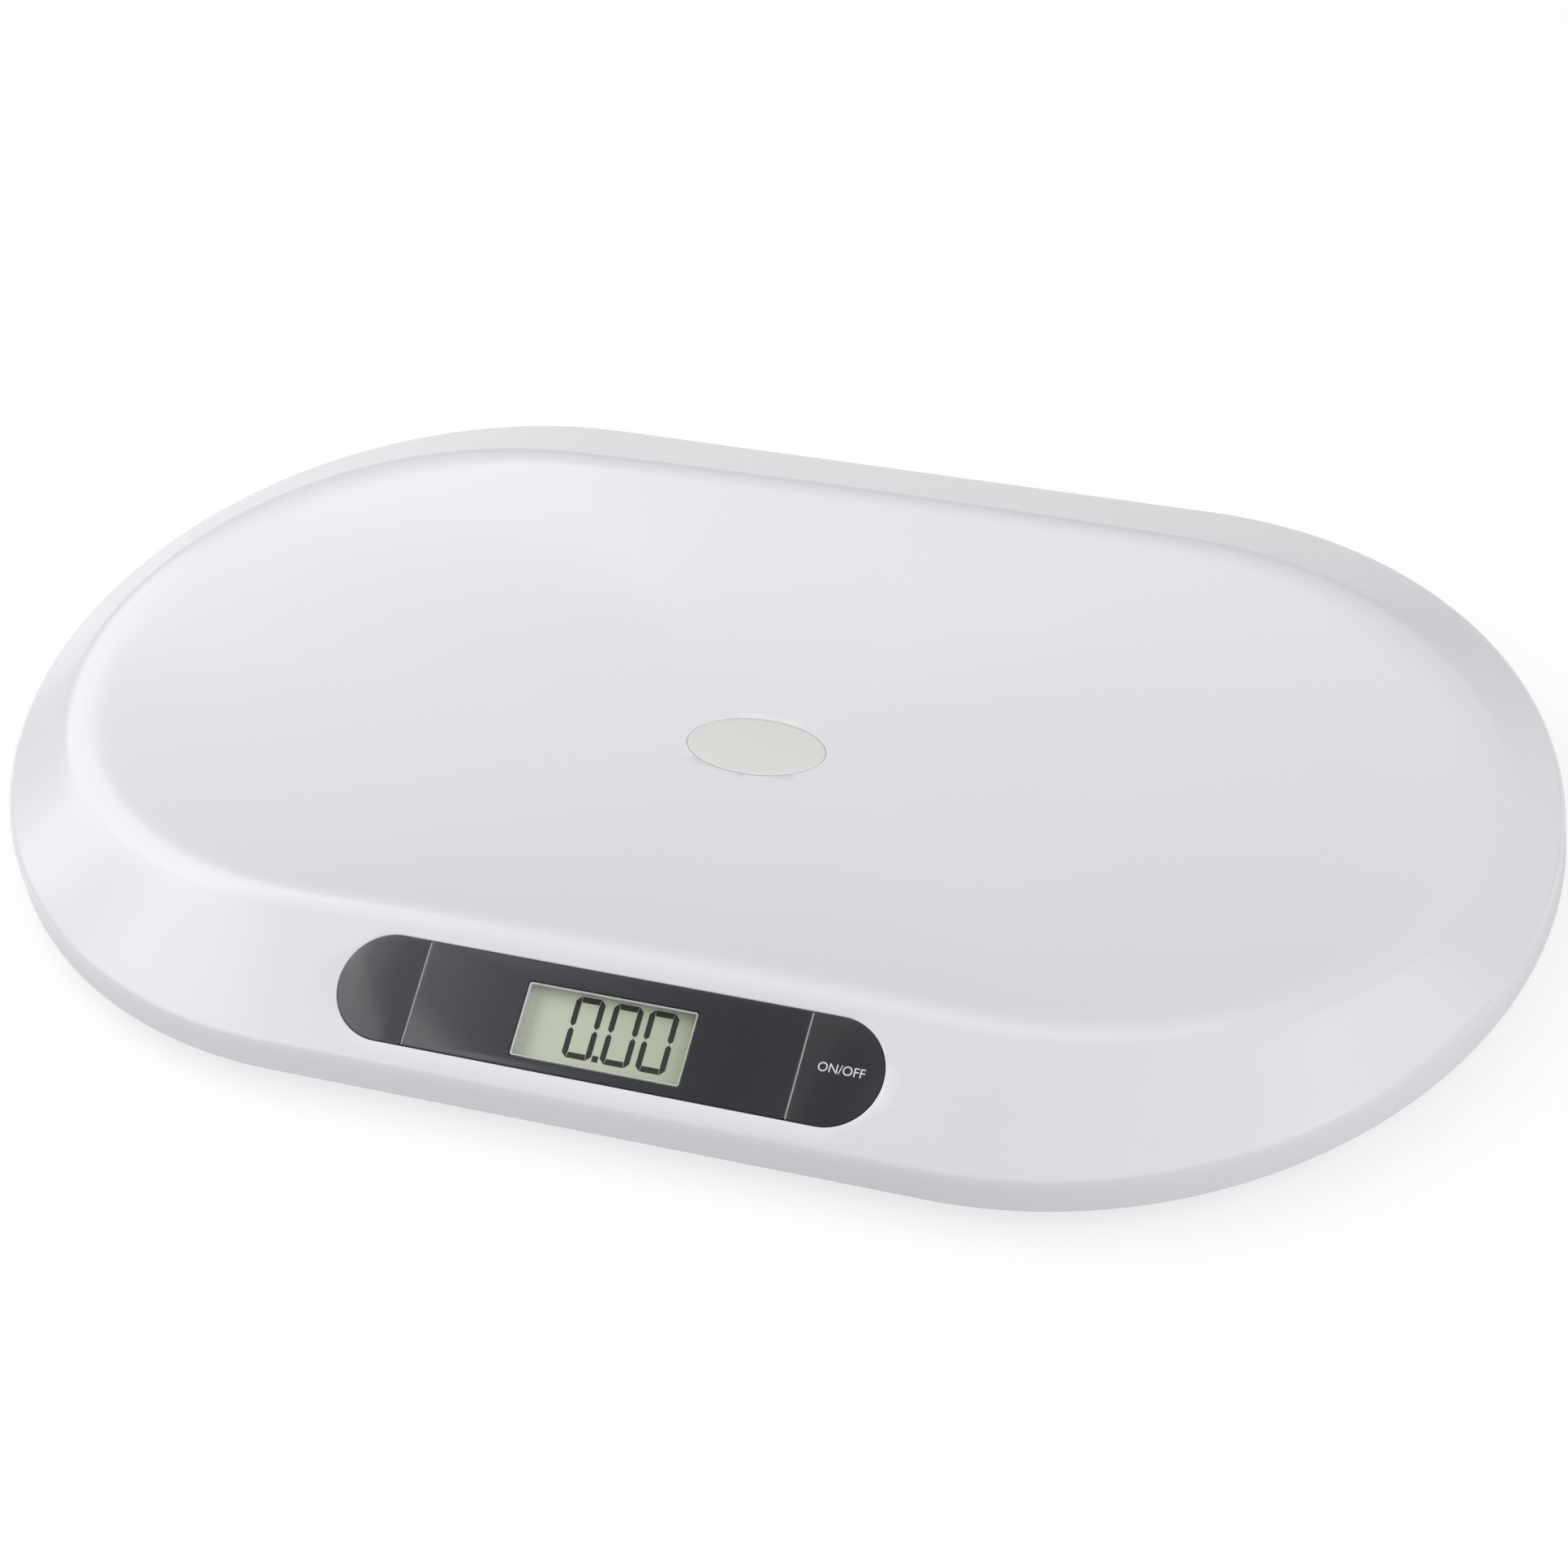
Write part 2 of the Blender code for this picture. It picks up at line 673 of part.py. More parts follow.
def trimmed_bosses(surface):
    """The tray's screw bosses, cut off inside its wall."""
    radius = SCREW_SHANK_RADIUS + GAP + BOSS_WALL
    low = STAND_HEIGHT + SCREW_WELL_TOP + GAP
    high = RIM_Z + CREST_SIDE_RISE
    rods = [rod_mesh("boss", radius, low, high, place, SCREW_STEPS) for place in housing_screw_places()]
    tool = cutter("tray_bosses", joined_mesh("tray_bosses", rods))
    combine(tool, tray_body(surface), "INTERSECT")
    return tool


def tray_shell(frame):
    """The dished tray, with its panel opening, badge recess and screw bosses."""
    surface = tray_surface()
    tray = add_object("tray_shell", surface.copy(), white_plastic())
    shell = tray.modifiers.new("Wall", "SOLIDIFY")
    shell.thickness = WALL
    shell.offset = -1.0
    shell.use_even_offset = True
    union_object(tray, trimmed_bosses(surface))
    bpy.data.meshes.remove(surface)
    pilot_top = housing_screw_tip() + GAP
    pilots = [rod_mesh("pilot", SCREW_SHANK_RADIUS + GAP, STAND_HEIGHT, pilot_top, place, SCREW_STEPS)
              for place in housing_screw_places()]
    combine(tray, joined_mesh("pilots", pilots), "DIFFERENCE")
    stakes = stake_meshes(-WALL + EMBED, CARRIER_BOTTOM, carrier_stake_places())
    combine(tray, joined_mesh("deck_stakes", stakes), "UNION").parent = frame
    heads = stake_heads(CARRIER_BOTTOM, -1, carrier_stake_places())
    combine(tray, joined_mesh("deck_stake_heads", heads), "UNION").parent = frame
    outline = stadium_outline(PANEL_LENGTH / 2 + GAP, PANEL_WIDTH / 2 + GAP)
    combine(tray, plate_mesh("opening", [outline], -WALL - OVERRUN, OVERRUN), "DIFFERENCE").parent = frame
    floor = RIM_Z + DISH_FLOOR_RISE
    recess = plate_mesh("recess", [badge_outline(GAP)], floor - BADGE_SUNK - GAP, floor + OVERRUN)
    combine(tray, recess, "DIFFERENCE")
    smooth(tray)


def badge_outline(margin):
    """The oval of the badge, grown by a margin."""
    turns = [2 * math.pi * i / FINE_STEPS for i in range(FINE_STEPS)]
    return [((BADGE_LENGTH / 2 + margin) * math.cos(a), BADGE_PLACE + (BADGE_WIDTH / 2 + margin) * math.sin(a))
            for a in turns]


def badge():
    """The bare oval inlay in the dish."""
    floor = RIM_Z + DISH_FLOOR_RISE
    mesh = plate_mesh("badge_plate", [badge_outline(0)], floor - BADGE_SUNK, floor + BADGE_PROUD)
    bevelled(add_object("badge_plate", mesh, badge_plastic()), PANEL_EDGE)


def bevelled(made, width, segments=1):
    """Rounds the sharp edges of an object and shades it smooth."""
    edge = made.modifiers.new("Edges", "BEVEL")
    edge.width = width
    edge.segments = segments
    edge.limit_method = "ANGLE"
    edge.angle_limit = math.radians(60.0)
    smooth(made)
    return made


def bracket_stake_places():
    """Two stakes for each load-cell bracket."""
    reach = bracket_half() + BRACKET_EAR / 2
    return [(x, y + side * reach) for x, y in foot_places().values() for side in (-1, 1)]


def bracket_half():
    """Half the width of a load-cell bracket."""
    return FLANGE_RADIUS + SLIDE_GAP + BRACKET_WALL


def ear_bottom():
    """The underside of a bracket's ears, on top of the base's posts."""
    return BASE_TOP + BRACKET_BOSS_HEIGHT + GAP


def ear_top():
    return ear_bottom() + BRACKET_EAR_HEIGHT


def hinge_place():
    """The battery door's hinge axis, as y and z."""
    return DOOR_HALF_WIDTH - DOOR_THICKNESS / 2, STAND_HEIGHT + DOOR_THICKNESS / 2


def base_cover():
    """The bottom plate, with its lip, screw wells, posts and battery bay."""
    inset = WALL + GAP
    feet = [circle_outline(FOOT_RADIUS + SLIDE_GAP, place, FINE_STEPS) for place in foot_places().values()]
    plate = plate_mesh("base_cover", [oval_outline(inset)] + feet, STAND_HEIGHT, BASE_TOP + BASE_LIP_HEIGHT)
    base = add_object("base_cover", plate, base_plastic())
    inner = plate_mesh("base_inside", [oval_outline(inset + BASE_LIP_WALL)], BASE_TOP,
                       BASE_TOP + BASE_LIP_HEIGHT + OVERRUN)
    combine(base, inner, "DIFFERENCE")
    foot_z = STAND_HEIGHT + EMBED
    wells = [rod_mesh("well", SCREW_WELL_RADIUS, foot_z, STAND_HEIGHT + SCREW_WELL_TOP, place, ROUND_STEPS)
             for place in housing_screw_places()]
    posts = [rod_mesh("post", BRACKET_BOSS_RADIUS, foot_z, BASE_TOP + BRACKET_BOSS_HEIGHT, place, SCREW_STEPS)
             for place in bracket_stake_places()]
    block_x = DOOR_HALF_LENGTH + BLOCK_WALL
    block_y = DOOR_HALF_WIDTH + BLOCK_WALL
    block = box_mesh("block", (-block_x, -block_y, foot_z), (block_x, block_y, BAY_TOP))
    combine(base, joined_mesh("base_posts", wells + posts + [block]), "UNION")
    stakes = stake_meshes(STAND_HEIGHT + BASE_WALL / 2, ear_top(), bracket_stake_places())
    combine(base, joined_mesh("base_stakes", stakes), "UNION")
    combine(base, joined_mesh("base_stake_heads", stake_heads(ear_top(), 1, bracket_stake_places())), "UNION")
    cut_screw_holes(base)
    cut_battery_bay(base)
    smooth(base)


def cut_screw_holes(base):
    """The counterbored wells of the housing screws."""
    wells = [rod_mesh("bore", SCREW_HEAD_RADIUS + SLIDE_GAP, STAND_HEIGHT - OVERRUN, screw_shoulder(), place)
             for place in housing_screw_places()]
    combine(base, joined_mesh("well_bores", wells), "DIFFERENCE")
    top = STAND_HEIGHT + SCREW_WELL_TOP + OVERRUN
    holes = [rod_mesh("hole", SCREW_SHANK_RADIUS + GAP, STAND_HEIGHT, top, place, SCREW_STEPS)
             for place in housing_screw_places()]
    combine(base, joined_mesh("well_holes", holes), "DIFFERENCE")


def cut_battery_bay(base):
    """The bay's inside, the recess of its door, the hinge holes and the holes for the two leads."""
    inside = box_mesh("bay", (-BAY_HALF_LENGTH, -BAY_HALF_WIDTH, STAND_HEIGHT),
                      (BAY_HALF_LENGTH, BAY_HALF_WIDTH, BAY_CEILING))
    combine(base, inside, "DIFFERENCE")
    recess = box_mesh("recess", (-DOOR_HALF_LENGTH - GAP, -DOOR_HALF_WIDTH - GAP, STAND_HEIGHT - OVERRUN),
                      (DOOR_HALF_LENGTH + GAP, DOOR_HALF_WIDTH + GAP, DOOR_TOP + GAP))
    combine(base, recess, "DIFFERENCE")
    reach = DOOR_HALF_LENGTH + DOOR_PIN_LENGTH + GAP
    pins = rod_mesh("pins", DOOR_PIN_RADIUS + GAP, -reach, reach, hinge_place(), SCREW_STEPS, "X")
    combine(base, pins, "DIFFERENCE")
    holes = [rod_mesh("hole", BATTERY_LEAD_RADIUS + GAP, -DOOR_HALF_WIDTH - BLOCK_WALL - OVERRUN, -BAY_HALF_WIDTH / 2,
                      (x, battery_lead_height()), SCREW_STEPS, "Y") for x in battery_lead_places()]
    combine(base, joined_mesh("lead_holes", holes), "DIFFERENCE")


def battery_lead_height():
    """The leads pass the bay's wall over the batteries' axes."""
    return BATTERY_Z


def battery_lead_places():
    """The two end batteries, whose contacts carry the leads."""
    reach = (BATTERY_COUNT - 1) / 2 * BATTERY_PITCH
    return (-reach, reach)


def battery_door():
    """The door under the batteries. It turns about two pins at its rear edge."""
    y, z = hinge_place()
    half = DOOR_THICKNESS / 2
    front = -DOOR_HALF_WIDTH - y
    turns = [math.pi * i / SCREW_STEPS for i in range(SCREW_STEPS + 1)]
    outline = [(half * math.sin(a), half * math.cos(a)) for a in turns] + [(front, -half), (front, half)]
    side = plate_mesh("battery_door", [outline], -DOOR_HALF_LENGTH, DOOR_HALF_LENGTH)
    side.transform(Matrix(((0, 0, 1, 0), (1, 0, 0, 0), (0, 1, 0, 0), (0, 0, 0, 1))))
    door = add_object("battery_door", side, base_plastic())
    door.location = (0, y, z)
    reach = DOOR_HALF_LENGTH + DOOR_PIN_LENGTH
    pins = rod_mesh("pins", DOOR_PIN_RADIUS, -reach, reach, (0, 0), SCREW_STEPS, "X")
    combine(door, pins, "UNION").location = door.location
    slits = []
    for sx in (-1, 1):
        x = sx * DOOR_LATCH_LENGTH / 2
        slits.append(box_mesh("slit", (x - DOOR_LATCH_SLIT / 2, front - OVERRUN, -DOOR_THICKNESS),
                              (x + DOOR_LATCH_SLIT / 2, front + DOOR_LATCH_REACH, DOOR_THICKNESS)))
    combine(door, joined_mesh("slits", slits), "DIFFERENCE").location = door.location
    grips = []
    grip_x = DOOR_LATCH_LENGTH / 2 - DOOR_LATCH_SLIT * 2
    for i in range(DOOR_GRIP_COUNT):
        low = front + (i + 1) * DOOR_GRIP_PITCH
        grips.append(box_mesh("grip", (-grip_x, low, -DOOR_THICKNESS),
                              (grip_x, low + DOOR_GRIP_WIDTH, -half + DOOR_GRIP_DEPTH)))
    combine(door, joined_mesh("grips", grips), "DIFFERENCE").location = door.location
    smooth(door)


def battery_places():
    """Each battery's number, place across the bay, and the way that its raised end points."""
    first = -(BATTERY_COUNT - 1) / 2
    return [(i, (first + i) * BATTERY_PITCH, 1 if i % 2 else -1) for i in range(BATTERY_COUNT)]


def raised_end():
    """How far a battery's raised end lies from the middle of the bay."""
    return BAY_HALF_WIDTH - CONTACT_ROOM - CONTACT_BUMP_HEIGHT


def batteries():
    """Four cells that lie side by side, turned end for end."""
    body = BATTERY_LENGTH - BATTERY_NUB_LENGTH
    profile = [(0, BATTERY_LENGTH), (BATTERY_NUB_RADIUS, BATTERY_LENGTH), (BATTERY_NUB_RADIUS, body),
               (BATTERY_RADIUS, body), (BATTERY_RADIUS, 0), (0, 0)]
    for i, x, way in battery_places():
        cell = turned("battery_" + str(i + 1), profile, battery_wrap(), steps=ROUND_STEPS)
        cell.rotation_euler = (-way * math.pi / 2, 0, 0)
        cell.location = (x, way * (raised_end() - BATTERY_LENGTH), BATTERY_Z)


def contact_plate(name, first, last, side):
    """A plate at one end of the bay. It has a bump for a raised end and a spring for a flat one."""
    half = BATTERY_PITCH / 2 - BATTERY_SPACING_GAP * 2
    outer = BAY_HALF_WIDTH - GAP
    face = outer - CONTACT_THICKNESS
    ends = sorted((side * outer, side * face))
    places = battery_places()
    plate = box_mesh(name, (places[first][1] - half, ends[0], BATTERY_Z - CONTACT_HEIGHT / 2),
                     (places[last][1] + half, ends[1], BATTERY_Z + CONTACT_HEIGHT / 2))
    contact = add_object(name, plate, nickel())
    for _, x, way in places[first:last + 1]:
        if way == side:
            reach = sorted((side * (raised_end() + GAP), side * (outer - CONTACT_THICKNESS / 2)))
            bump = rod_mesh("bump", CONTACT_BUMP_RADIUS, reach[0], reach[1], (x, BATTERY_Z), SCREW_STEPS, "Y")
            combine(contact, bump, "UNION")
        else:
            combine(contact, spring_mesh(x, side, face), "UNION")
    smooth(contact)


def spring_mesh(x, side, face):
    """A cone spring that stands on a contact plate and presses a flat end."""
    steps = SPRING_TURNS * SPRING_STEPS
    points = [(x + SPRING_BASE_RADIUS, side * (face + CONTACT_THICKNESS / 2), BATTERY_Z)]
    start = face - SPRING_WIRE - GAP / 2
    length = SPRING_LENGTH - 2 * SPRING_WIRE - GAP / 2
    for k in range(steps + 1):
        share = k / steps
        a = 2 * math.pi * SPRING_TURNS * share
        radius = SPRING_BASE_RADIUS + (SPRING_TIP_RADIUS - SPRING_BASE_RADIUS) * share
        along = side * (start - share * length)
        points.append((x + radius * math.cos(a), along, BATTERY_Z + radius * math.sin(a)))
    return tube_mesh("spring", points, SPRING_WIRE, 1)


def battery_contacts():
    """Five plates that join the four cells in a row."""
    spans = (("rear_left", 0, 1, 1), ("rear_right", 2, 3, 1),
             ("front_left", 0, 0, -1), ("front_middle", 1, 2, -1), ("front_right", 3, 3, -1))
    for name, first, last, side in spans:
        contact_plate("battery_contact_" + name, first, last, side)


def tube_mesh(name, points, radius, resolution):
    """A round tube along a row of points, closed at both ends."""
    curve = bpy.data.curves.new(name, "CURVE")
    curve.dimensions = "3D"
    curve.bevel_depth = radius
    curve.bevel_resolution = resolution
    curve.use_fill_caps = True
    spline = curve.splines.new("POLY")
    spline.points.add(len(points) - 1)
    for target, point in zip(spline.points, points):
        target.co = (*point, 1.0)
    return mesh_of_curve(name, curve)


def wire(name, points, radius, finish):
    """A lead as an object."""
    smooth(add_object(name, tube_mesh(name, points, radius, 1), finish))


def foot(name, place):
    """One weighing foot: its cup and the rubber pad under it."""
    x, y = place
    sunk = FOOT_LIFT + PAD_SUNK + GAP
    cup = [(0, POST_TOP), (FOOT_POST_RADIUS, POST_TOP), (FOOT_POST_RADIUS, FLANGE_TOP),
           (FLANGE_RADIUS, FLANGE_TOP), (FLANGE_RADIUS, FLANGE_BOTTOM), (FOOT_RADIUS, FLANGE_BOTTOM),
           (FOOT_RADIUS, FOOT_LIFT + FOOT_CHAMFER), (FOOT_RADIUS - FOOT_CHAMFER, FOOT_LIFT),
           (PAD_RADIUS + GAP, FOOT_LIFT), (PAD_RADIUS + GAP, sunk), (0, sunk)]
    smooth(turned("foot_cup_" + name, cup, base_plastic(), (x, y, 0), FINE_STEPS))
    top = FOOT_LIFT + PAD_SUNK
    pad = [(0, top), (PAD_RADIUS, top), (PAD_RADIUS, PAD_EDGE), (PAD_RADIUS - PAD_EDGE, 0), (0, 0)]
    smooth(turned("foot_pad_" + name, pad, grey_rubber(), (x, y, 0), FINE_STEPS))


def load_cell(name, place):
    """A square steel plate with a U-shaped slot, whose tongue the foot presses."""
    x, y = place
    a = CELL_TONGUE_WIDTH / 2
    b = a + CELL_SLOT
    low = -CELL_TONGUE_REACH
    slot = [(-b, CELL_TONGUE_ROOT), (-b, low - CELL_SLOT), (b, low - CELL_SLOT), (b, CELL_TONGUE_ROOT),
            (a, CELL_TONGUE_ROOT), (a, low), (-a, low), (-a, CELL_TONGUE_ROOT)]
    edge = rounded_outline(CELL_SIZE / 2, CELL_SIZE / 2, CELL_CORNER)
    mesh = plate_mesh("load_cell_" + name, [edge, slot], CELL_BOTTOM, CELL_TOP)
    add_object("load_cell_" + name, mesh, bare_steel()).location = (x, y, 0)
    gauge = box_mesh("strain_gauge_" + name, (-GAUGE_LENGTH / 2, GAUGE_PLACE - GAUGE_WIDTH / 2, CELL_TOP + GAP),
                     (GAUGE_LENGTH / 2, GAUGE_PLACE + GAUGE_WIDTH / 2, CELL_TOP + GAP + GAUGE_HEIGHT))
    add_object("strain_gauge_" + name, gauge, gauge_epoxy()).location = (x, y, 0)


def inward(x):
    """Which way along X the middle of the scale lies."""
    return -1 if x > 0 else 1


def load_cell_bracket(name, place):
    """The cover that bears on the load cell's frame and is screwed to the base."""
    x, y = place
    half = bracket_half()
    outline = rounded_outline(half, half, CELL_CORNER)
    bracket = add_object("load_cell_bracket_" + name,
                         plate_mesh("bracket", [outline], BRACKET_BOTTOM, BRACKET_TOP), black_plastic())
    bracket.location = (x, y, 0)
    ears = box_mesh("ears", (-BRACKET_EAR / 2, -half - BRACKET_EAR, ear_bottom()),
                    (BRACKET_EAR / 2, half + BRACKET_EAR, ear_top()))
    tools = [(ears, "UNION")]
    room = FLANGE_TOP + FOOT_TRAVEL + SLIDE_GAP
    tools.append((rod_mesh("flange_room", FLANGE_RADIUS + SLIDE_GAP, BRACKET_BOTTOM - OVERRUN, room, steps=FINE_STEPS),
                  "DIFFERENCE"))
    reach = CELL_SIZE / 2 + GAP
    tools.append((box_mesh("cell_room", (-reach, -reach, FLANGE_TOP), (reach, reach, CELL_TOP + GAP)), "DIFFERENCE"))
    tools.append((box_mesh("relief", (BRACKET_PAD_WIDTH - reach, -reach + GAP, CELL_BOTTOM),
                           (reach - BRACKET_PAD_WIDTH, reach - GAP, BRACKET_CEILING)), "DIFFERENCE"))
    ends = sorted((inward(x) * CELL_SIZE / 4, inward(x) * (half + OVERRUN)))
    tools.append((box_mesh("notch", (ends[0], -LEAD_NOTCH, BRACKET_BOTTOM - OVERRUN),
                           (ends[1], LEAD_NOTCH, CELL_TOP + GAP)), "DIFFERENCE"))
    hole_y = half + BRACKET_EAR / 2
    holes = [rod_mesh("hole", STAKE_RADIUS + GAP, ear_bottom() - OVERRUN, ear_top() + OVERRUN, (0, side * hole_y),
                      SCREW_STEPS) for side in (-1, 1)]
    tools.append((joined_mesh("ear_holes", holes), "DIFFERENCE"))
    for mesh, how in tools:
        combine(bracket, mesh, how).location = bracket.location
    smooth(bracket)


def screw_profile(head_radius, head_height, shank_radius, length):
    """A pan-head screw whose head bears at z = 0 and whose shank goes up."""
    return [(0, length), (shank_radius, length), (shank_radius, 0), (head_radius, 0), (head_radius, -head_height),
            (0, -head_height)]


def screws():
    """The six housing screws, which share one mesh."""
    large = screw_profile(SCREW_HEAD_RADIUS, SCREW_HEAD_HEIGHT, SCREW_SHANK_RADIUS, SCREW_LENGTH)
    for i, (x, y) in enumerate(housing_screw_places()):
        name = "housing_screw_" + str(i + 1)
        smooth(turned(name, large, bare_steel(), (x, y, screw_shoulder() - GAP), SCREW_STEPS))


def board_stake_places():
    """Four stakes of the carrier, which pass through the board."""
    return [(sx * BOARD_STAKE_X, BOARD_SHIFT + sy * BOARD_STAKE_Y) for sx in (-1, 1) for sy in (-1, 1)]


def window_outline(margin):
    """The display window, grown by a margin."""
    return rounded_outline(WINDOW_LENGTH / 2 + margin, WINDOW_WIDTH / 2 + margin, WINDOW_CORNER + max(margin, 0) / 4,
                           (0, WINDOW_SHIFT))


def fascia(frame):
    """The dark middle of the panel, with the display window."""
    half = (FASCIA_LENGTH - BUTTON_SPLIT) / 2
    outline = rounded_outline(half, PANEL_WIDTH / 2, FASCIA_CORNER)
    mesh = plate_mesh("fascia_panel", [outline, window_outline(0)], -PANEL_THICKNESS, 0)
    made = add_object("fascia_panel", mesh, dark_gloss())
    made.parent = frame
    pocket = plate_mesh("lens_pocket", [window_outline(LENS_MARGIN)], -PANEL_THICKNESS - OVERRUN,
                        LENS_TOP + GAP)
    combine(made, pocket, "DIFFERENCE")
    bevelled(made, PANEL_EDGE)
    lens = plate_mesh("display_window", [window_outline(LENS_MARGIN - GAP)], -PANEL_THICKNESS, LENS_TOP)
    add_object("display_window", lens, clear_acrylic()).parent = frame


def button_outline(side):
    """The end of the panel's slot shape, cut square where it meets the fascia."""
    radius = PANEL_WIDTH / 2
    centre = PANEL_LENGTH / 2 - radius
    inner = (FASCIA_LENGTH + BUTTON_SPLIT) / 2
    corner = FASCIA_CORNER
    points = []
    for i in range(FINE_STEPS // 2 + 1):
        a = math.pi * (i / (FINE_STEPS // 2) - 0.5)
        points.append((centre + radius * math.cos(a), radius * math.sin(a)))
    for quarter, sy in ((1, 1), (2, -1)):
        for i in range(CORNER_STEPS + 1):
            a = math.pi / 2 * (quarter + i / CORNER_STEPS)
            points.append((inner + corner + corner * math.cos(a),
                           sy * (radius - corner) + corner * math.sin(a)))
    return [(side * (x - SWITCH_PLACE), side * y) for x, y in points]


def button(name, side, frame):
    """One key of the panel, with the post that works its switch."""
    plate = plate_mesh(name, [button_outline(side)], -PANEL_THICKNESS, 0)
    key = add_object(name + "_button", plate, dark_gloss())
    key.parent = frame
    key.location = (side * SWITCH_PLACE, 0, 0)
    post = rod_mesh("post", BUTTON_POST_RADIUS, POST_BOTTOM, -PANEL_THICKNESS + EMBED, steps=SCREW_STEPS)
    combine(key, post, "UNION").location = key.location
    bevelled(key, PANEL_EDGE)
    body = box_mesh(name + "_switch_body", (-SWITCH_SIZE / 2, -SWITCH_SIZE / 2, BOARD_TOP + GAP),
                    (SWITCH_SIZE / 2, SWITCH_SIZE / 2, SWITCH_TOP))
    switch = add_object(name + "_switch_body", body, black_plastic())
    switch.parent = frame
    switch.location = key.location
    bore = rod_mesh("bore", PLUNGER_RADIUS + GAP, PLUNGER_BOTTOM - BUTTON_TRAVEL - GAP, SWITCH_TOP + OVERRUN,
                    steps=SCREW_STEPS)
    combine(switch, bore, "DIFFERENCE").location = key.location
    mesh = rod_mesh(name + "_switch_plunger", PLUNGER_RADIUS, PLUNGER_BOTTOM, PLUNGER_TOP, steps=SCREW_STEPS)
    plunger = add_object(name + "_switch_plunger", mesh, grey_rubber())
    plunger.parent = frame
    plunger.location = key.location
    smooth(plunger)


def panel_carrier(frame):
    """The inner frame that holds the fascia, the display and the board under the deck."""
    outline = stadium_outline(PANEL_LENGTH / 2 + CARRIER_MARGIN, PANEL_WIDTH / 2 + CARRIER_MARGIN)
    posts = [circle_outline(BUTTON_POST_RADIUS + SLIDE_GAP, (side * SWITCH_PLACE, 0)) for side in (-1, 1)]
    mesh = plate_mesh("panel_carrier", [outline, window_outline(0)] + posts, CARRIER_BOTTOM, CARRIER_TOP)
    carrier = add_object("panel_carrier", mesh, base_plastic())
    carrier.parent = frame
    ledge_half = (FASCIA_LENGTH - BUTTON_SPLIT) / 2 - LEDGE_INSET
    ledge = rounded_outline(ledge_half, PANEL_WIDTH / 2 - LEDGE_INSET, FASCIA_CORNER)
    combine(carrier, plate_mesh("ledge", [ledge, window_outline(GAP)], CARRIER_TOP - EMBED, -PANEL_THICKNESS - GAP),
            "UNION")
    ears = [rod_mesh("ear", CARRIER_EAR_RADIUS, CARRIER_BOTTOM, CARRIER_TOP, place)
            for place in carrier_stake_places()]
    combine(carrier, joined_mesh("ears", ears), "UNION")
    foot_z = CARRIER_BOTTOM + EMBED
    posts = [rod_mesh("post", BOARD_POST_RADIUS, BOARD_TOP + GAP, foot_z, place, SCREW_STEPS)
             for place in board_stake_places()]
    combine(carrier, joined_mesh("posts", posts), "UNION")
    stakes = stake_meshes(foot_z, BOARD_BOTTOM, board_stake_places())
    combine(carrier, joined_mesh("board_stakes", stakes), "UNION")
    heads = stake_heads(BOARD_BOTTOM, -1, board_stake_places())
    combine(carrier, joined_mesh("board_stake_heads", heads), "UNION")
    low, high = CARRIER_BOTTOM - OVERRUN, CARRIER_TOP + OVERRUN
    holes = [rod_mesh("hole", STAKE_RADIUS + GAP, low, high, place, SCREW_STEPS)
             for place in carrier_stake_places()]
    combine(carrier, joined_mesh("ear_holes", holes), "DIFFERENCE")
    smooth(carrier)


def display(frame):
    """The liquid crystal glass, its holder and the strip that joins it to the board."""
    def outline(margin):
        return rounded_outline(LCD_LENGTH / 2 + margin, LCD_WIDTH / 2 + margin, WINDOW_CORNER, (0, WINDOW_SHIFT))

    add_object("lcd_glass", plate_mesh("lcd_glass", [outline(0)], LCD_BOTTOM, LCD_TOP), display_glass()).parent = frame
    walls = [outline(GAP + HOLDER_WALL), outline(-HOLDER_LEDGE)]
    shell = plate_mesh("lcd_holder", walls, HOLDER_BOTTOM, HOLDER_TOP)
    holder = add_object("lcd_holder", shell, black_plastic())
    holder.parent = frame
    combine(holder, plate_mesh("lcd_room", [outline(GAP)], LCD_BOTTOM - GAP, HOLDER_TOP + OVERRUN), "DIFFERENCE")
    low = WINDOW_SHIFT - LCD_WIDTH / 2 + HOLDER_LEDGE + GAP
    reach = LCD_LENGTH / 2 - HOLDER_LEDGE - WINDOW_CORNER
    strip = box_mesh("zebra_strip", (-reach, low, BOARD_TOP + GAP), (reach, low + ZEBRA_WIDTH, LCD_BOTTOM - GAP))
    add_object("zebra_strip", strip, grey_rubber()).parent = frame


def board(frame):
    """The circuit board and the parts on its lower face."""
    edge = rounded_outline(BOARD_LENGTH / 2, BOARD_WIDTH / 2, CELL_CORNER, (0, BOARD_SHIFT))
    holes = [circle_outline(STAKE_RADIUS + GAP, place, SCREW_STEPS) for place in board_stake_places()]
    plate = plate_mesh("main_board", [edge] + holes, BOARD_BOTTOM, BOARD_TOP)
    made = add_object("main_board", plate, board_green())
    made.parent = frame
    half = CHIP_SIZE / 2
    chip = box_mesh("controller_chip", (-half, CHIP_PLACE - half, PARTS_TOP - CHIP_HEIGHT),
                    (half, CHIP_PLACE + half, PARTS_TOP))
    add_object("controller_chip", chip, black_plastic()).parent = frame
    x, y = CRYSTAL_PLACE
    can = rod_mesh("crystal_can", CRYSTAL_RADIUS, x - CRYSTAL_LENGTH / 2, x + CRYSTAL_LENGTH / 2,
                   (y, PARTS_TOP - CRYSTAL_RADIUS), SCREW_STEPS, "X")
    crystal = add_object("crystal_can", can, bare_steel())
    crystal.parent = frame
    smooth(crystal)


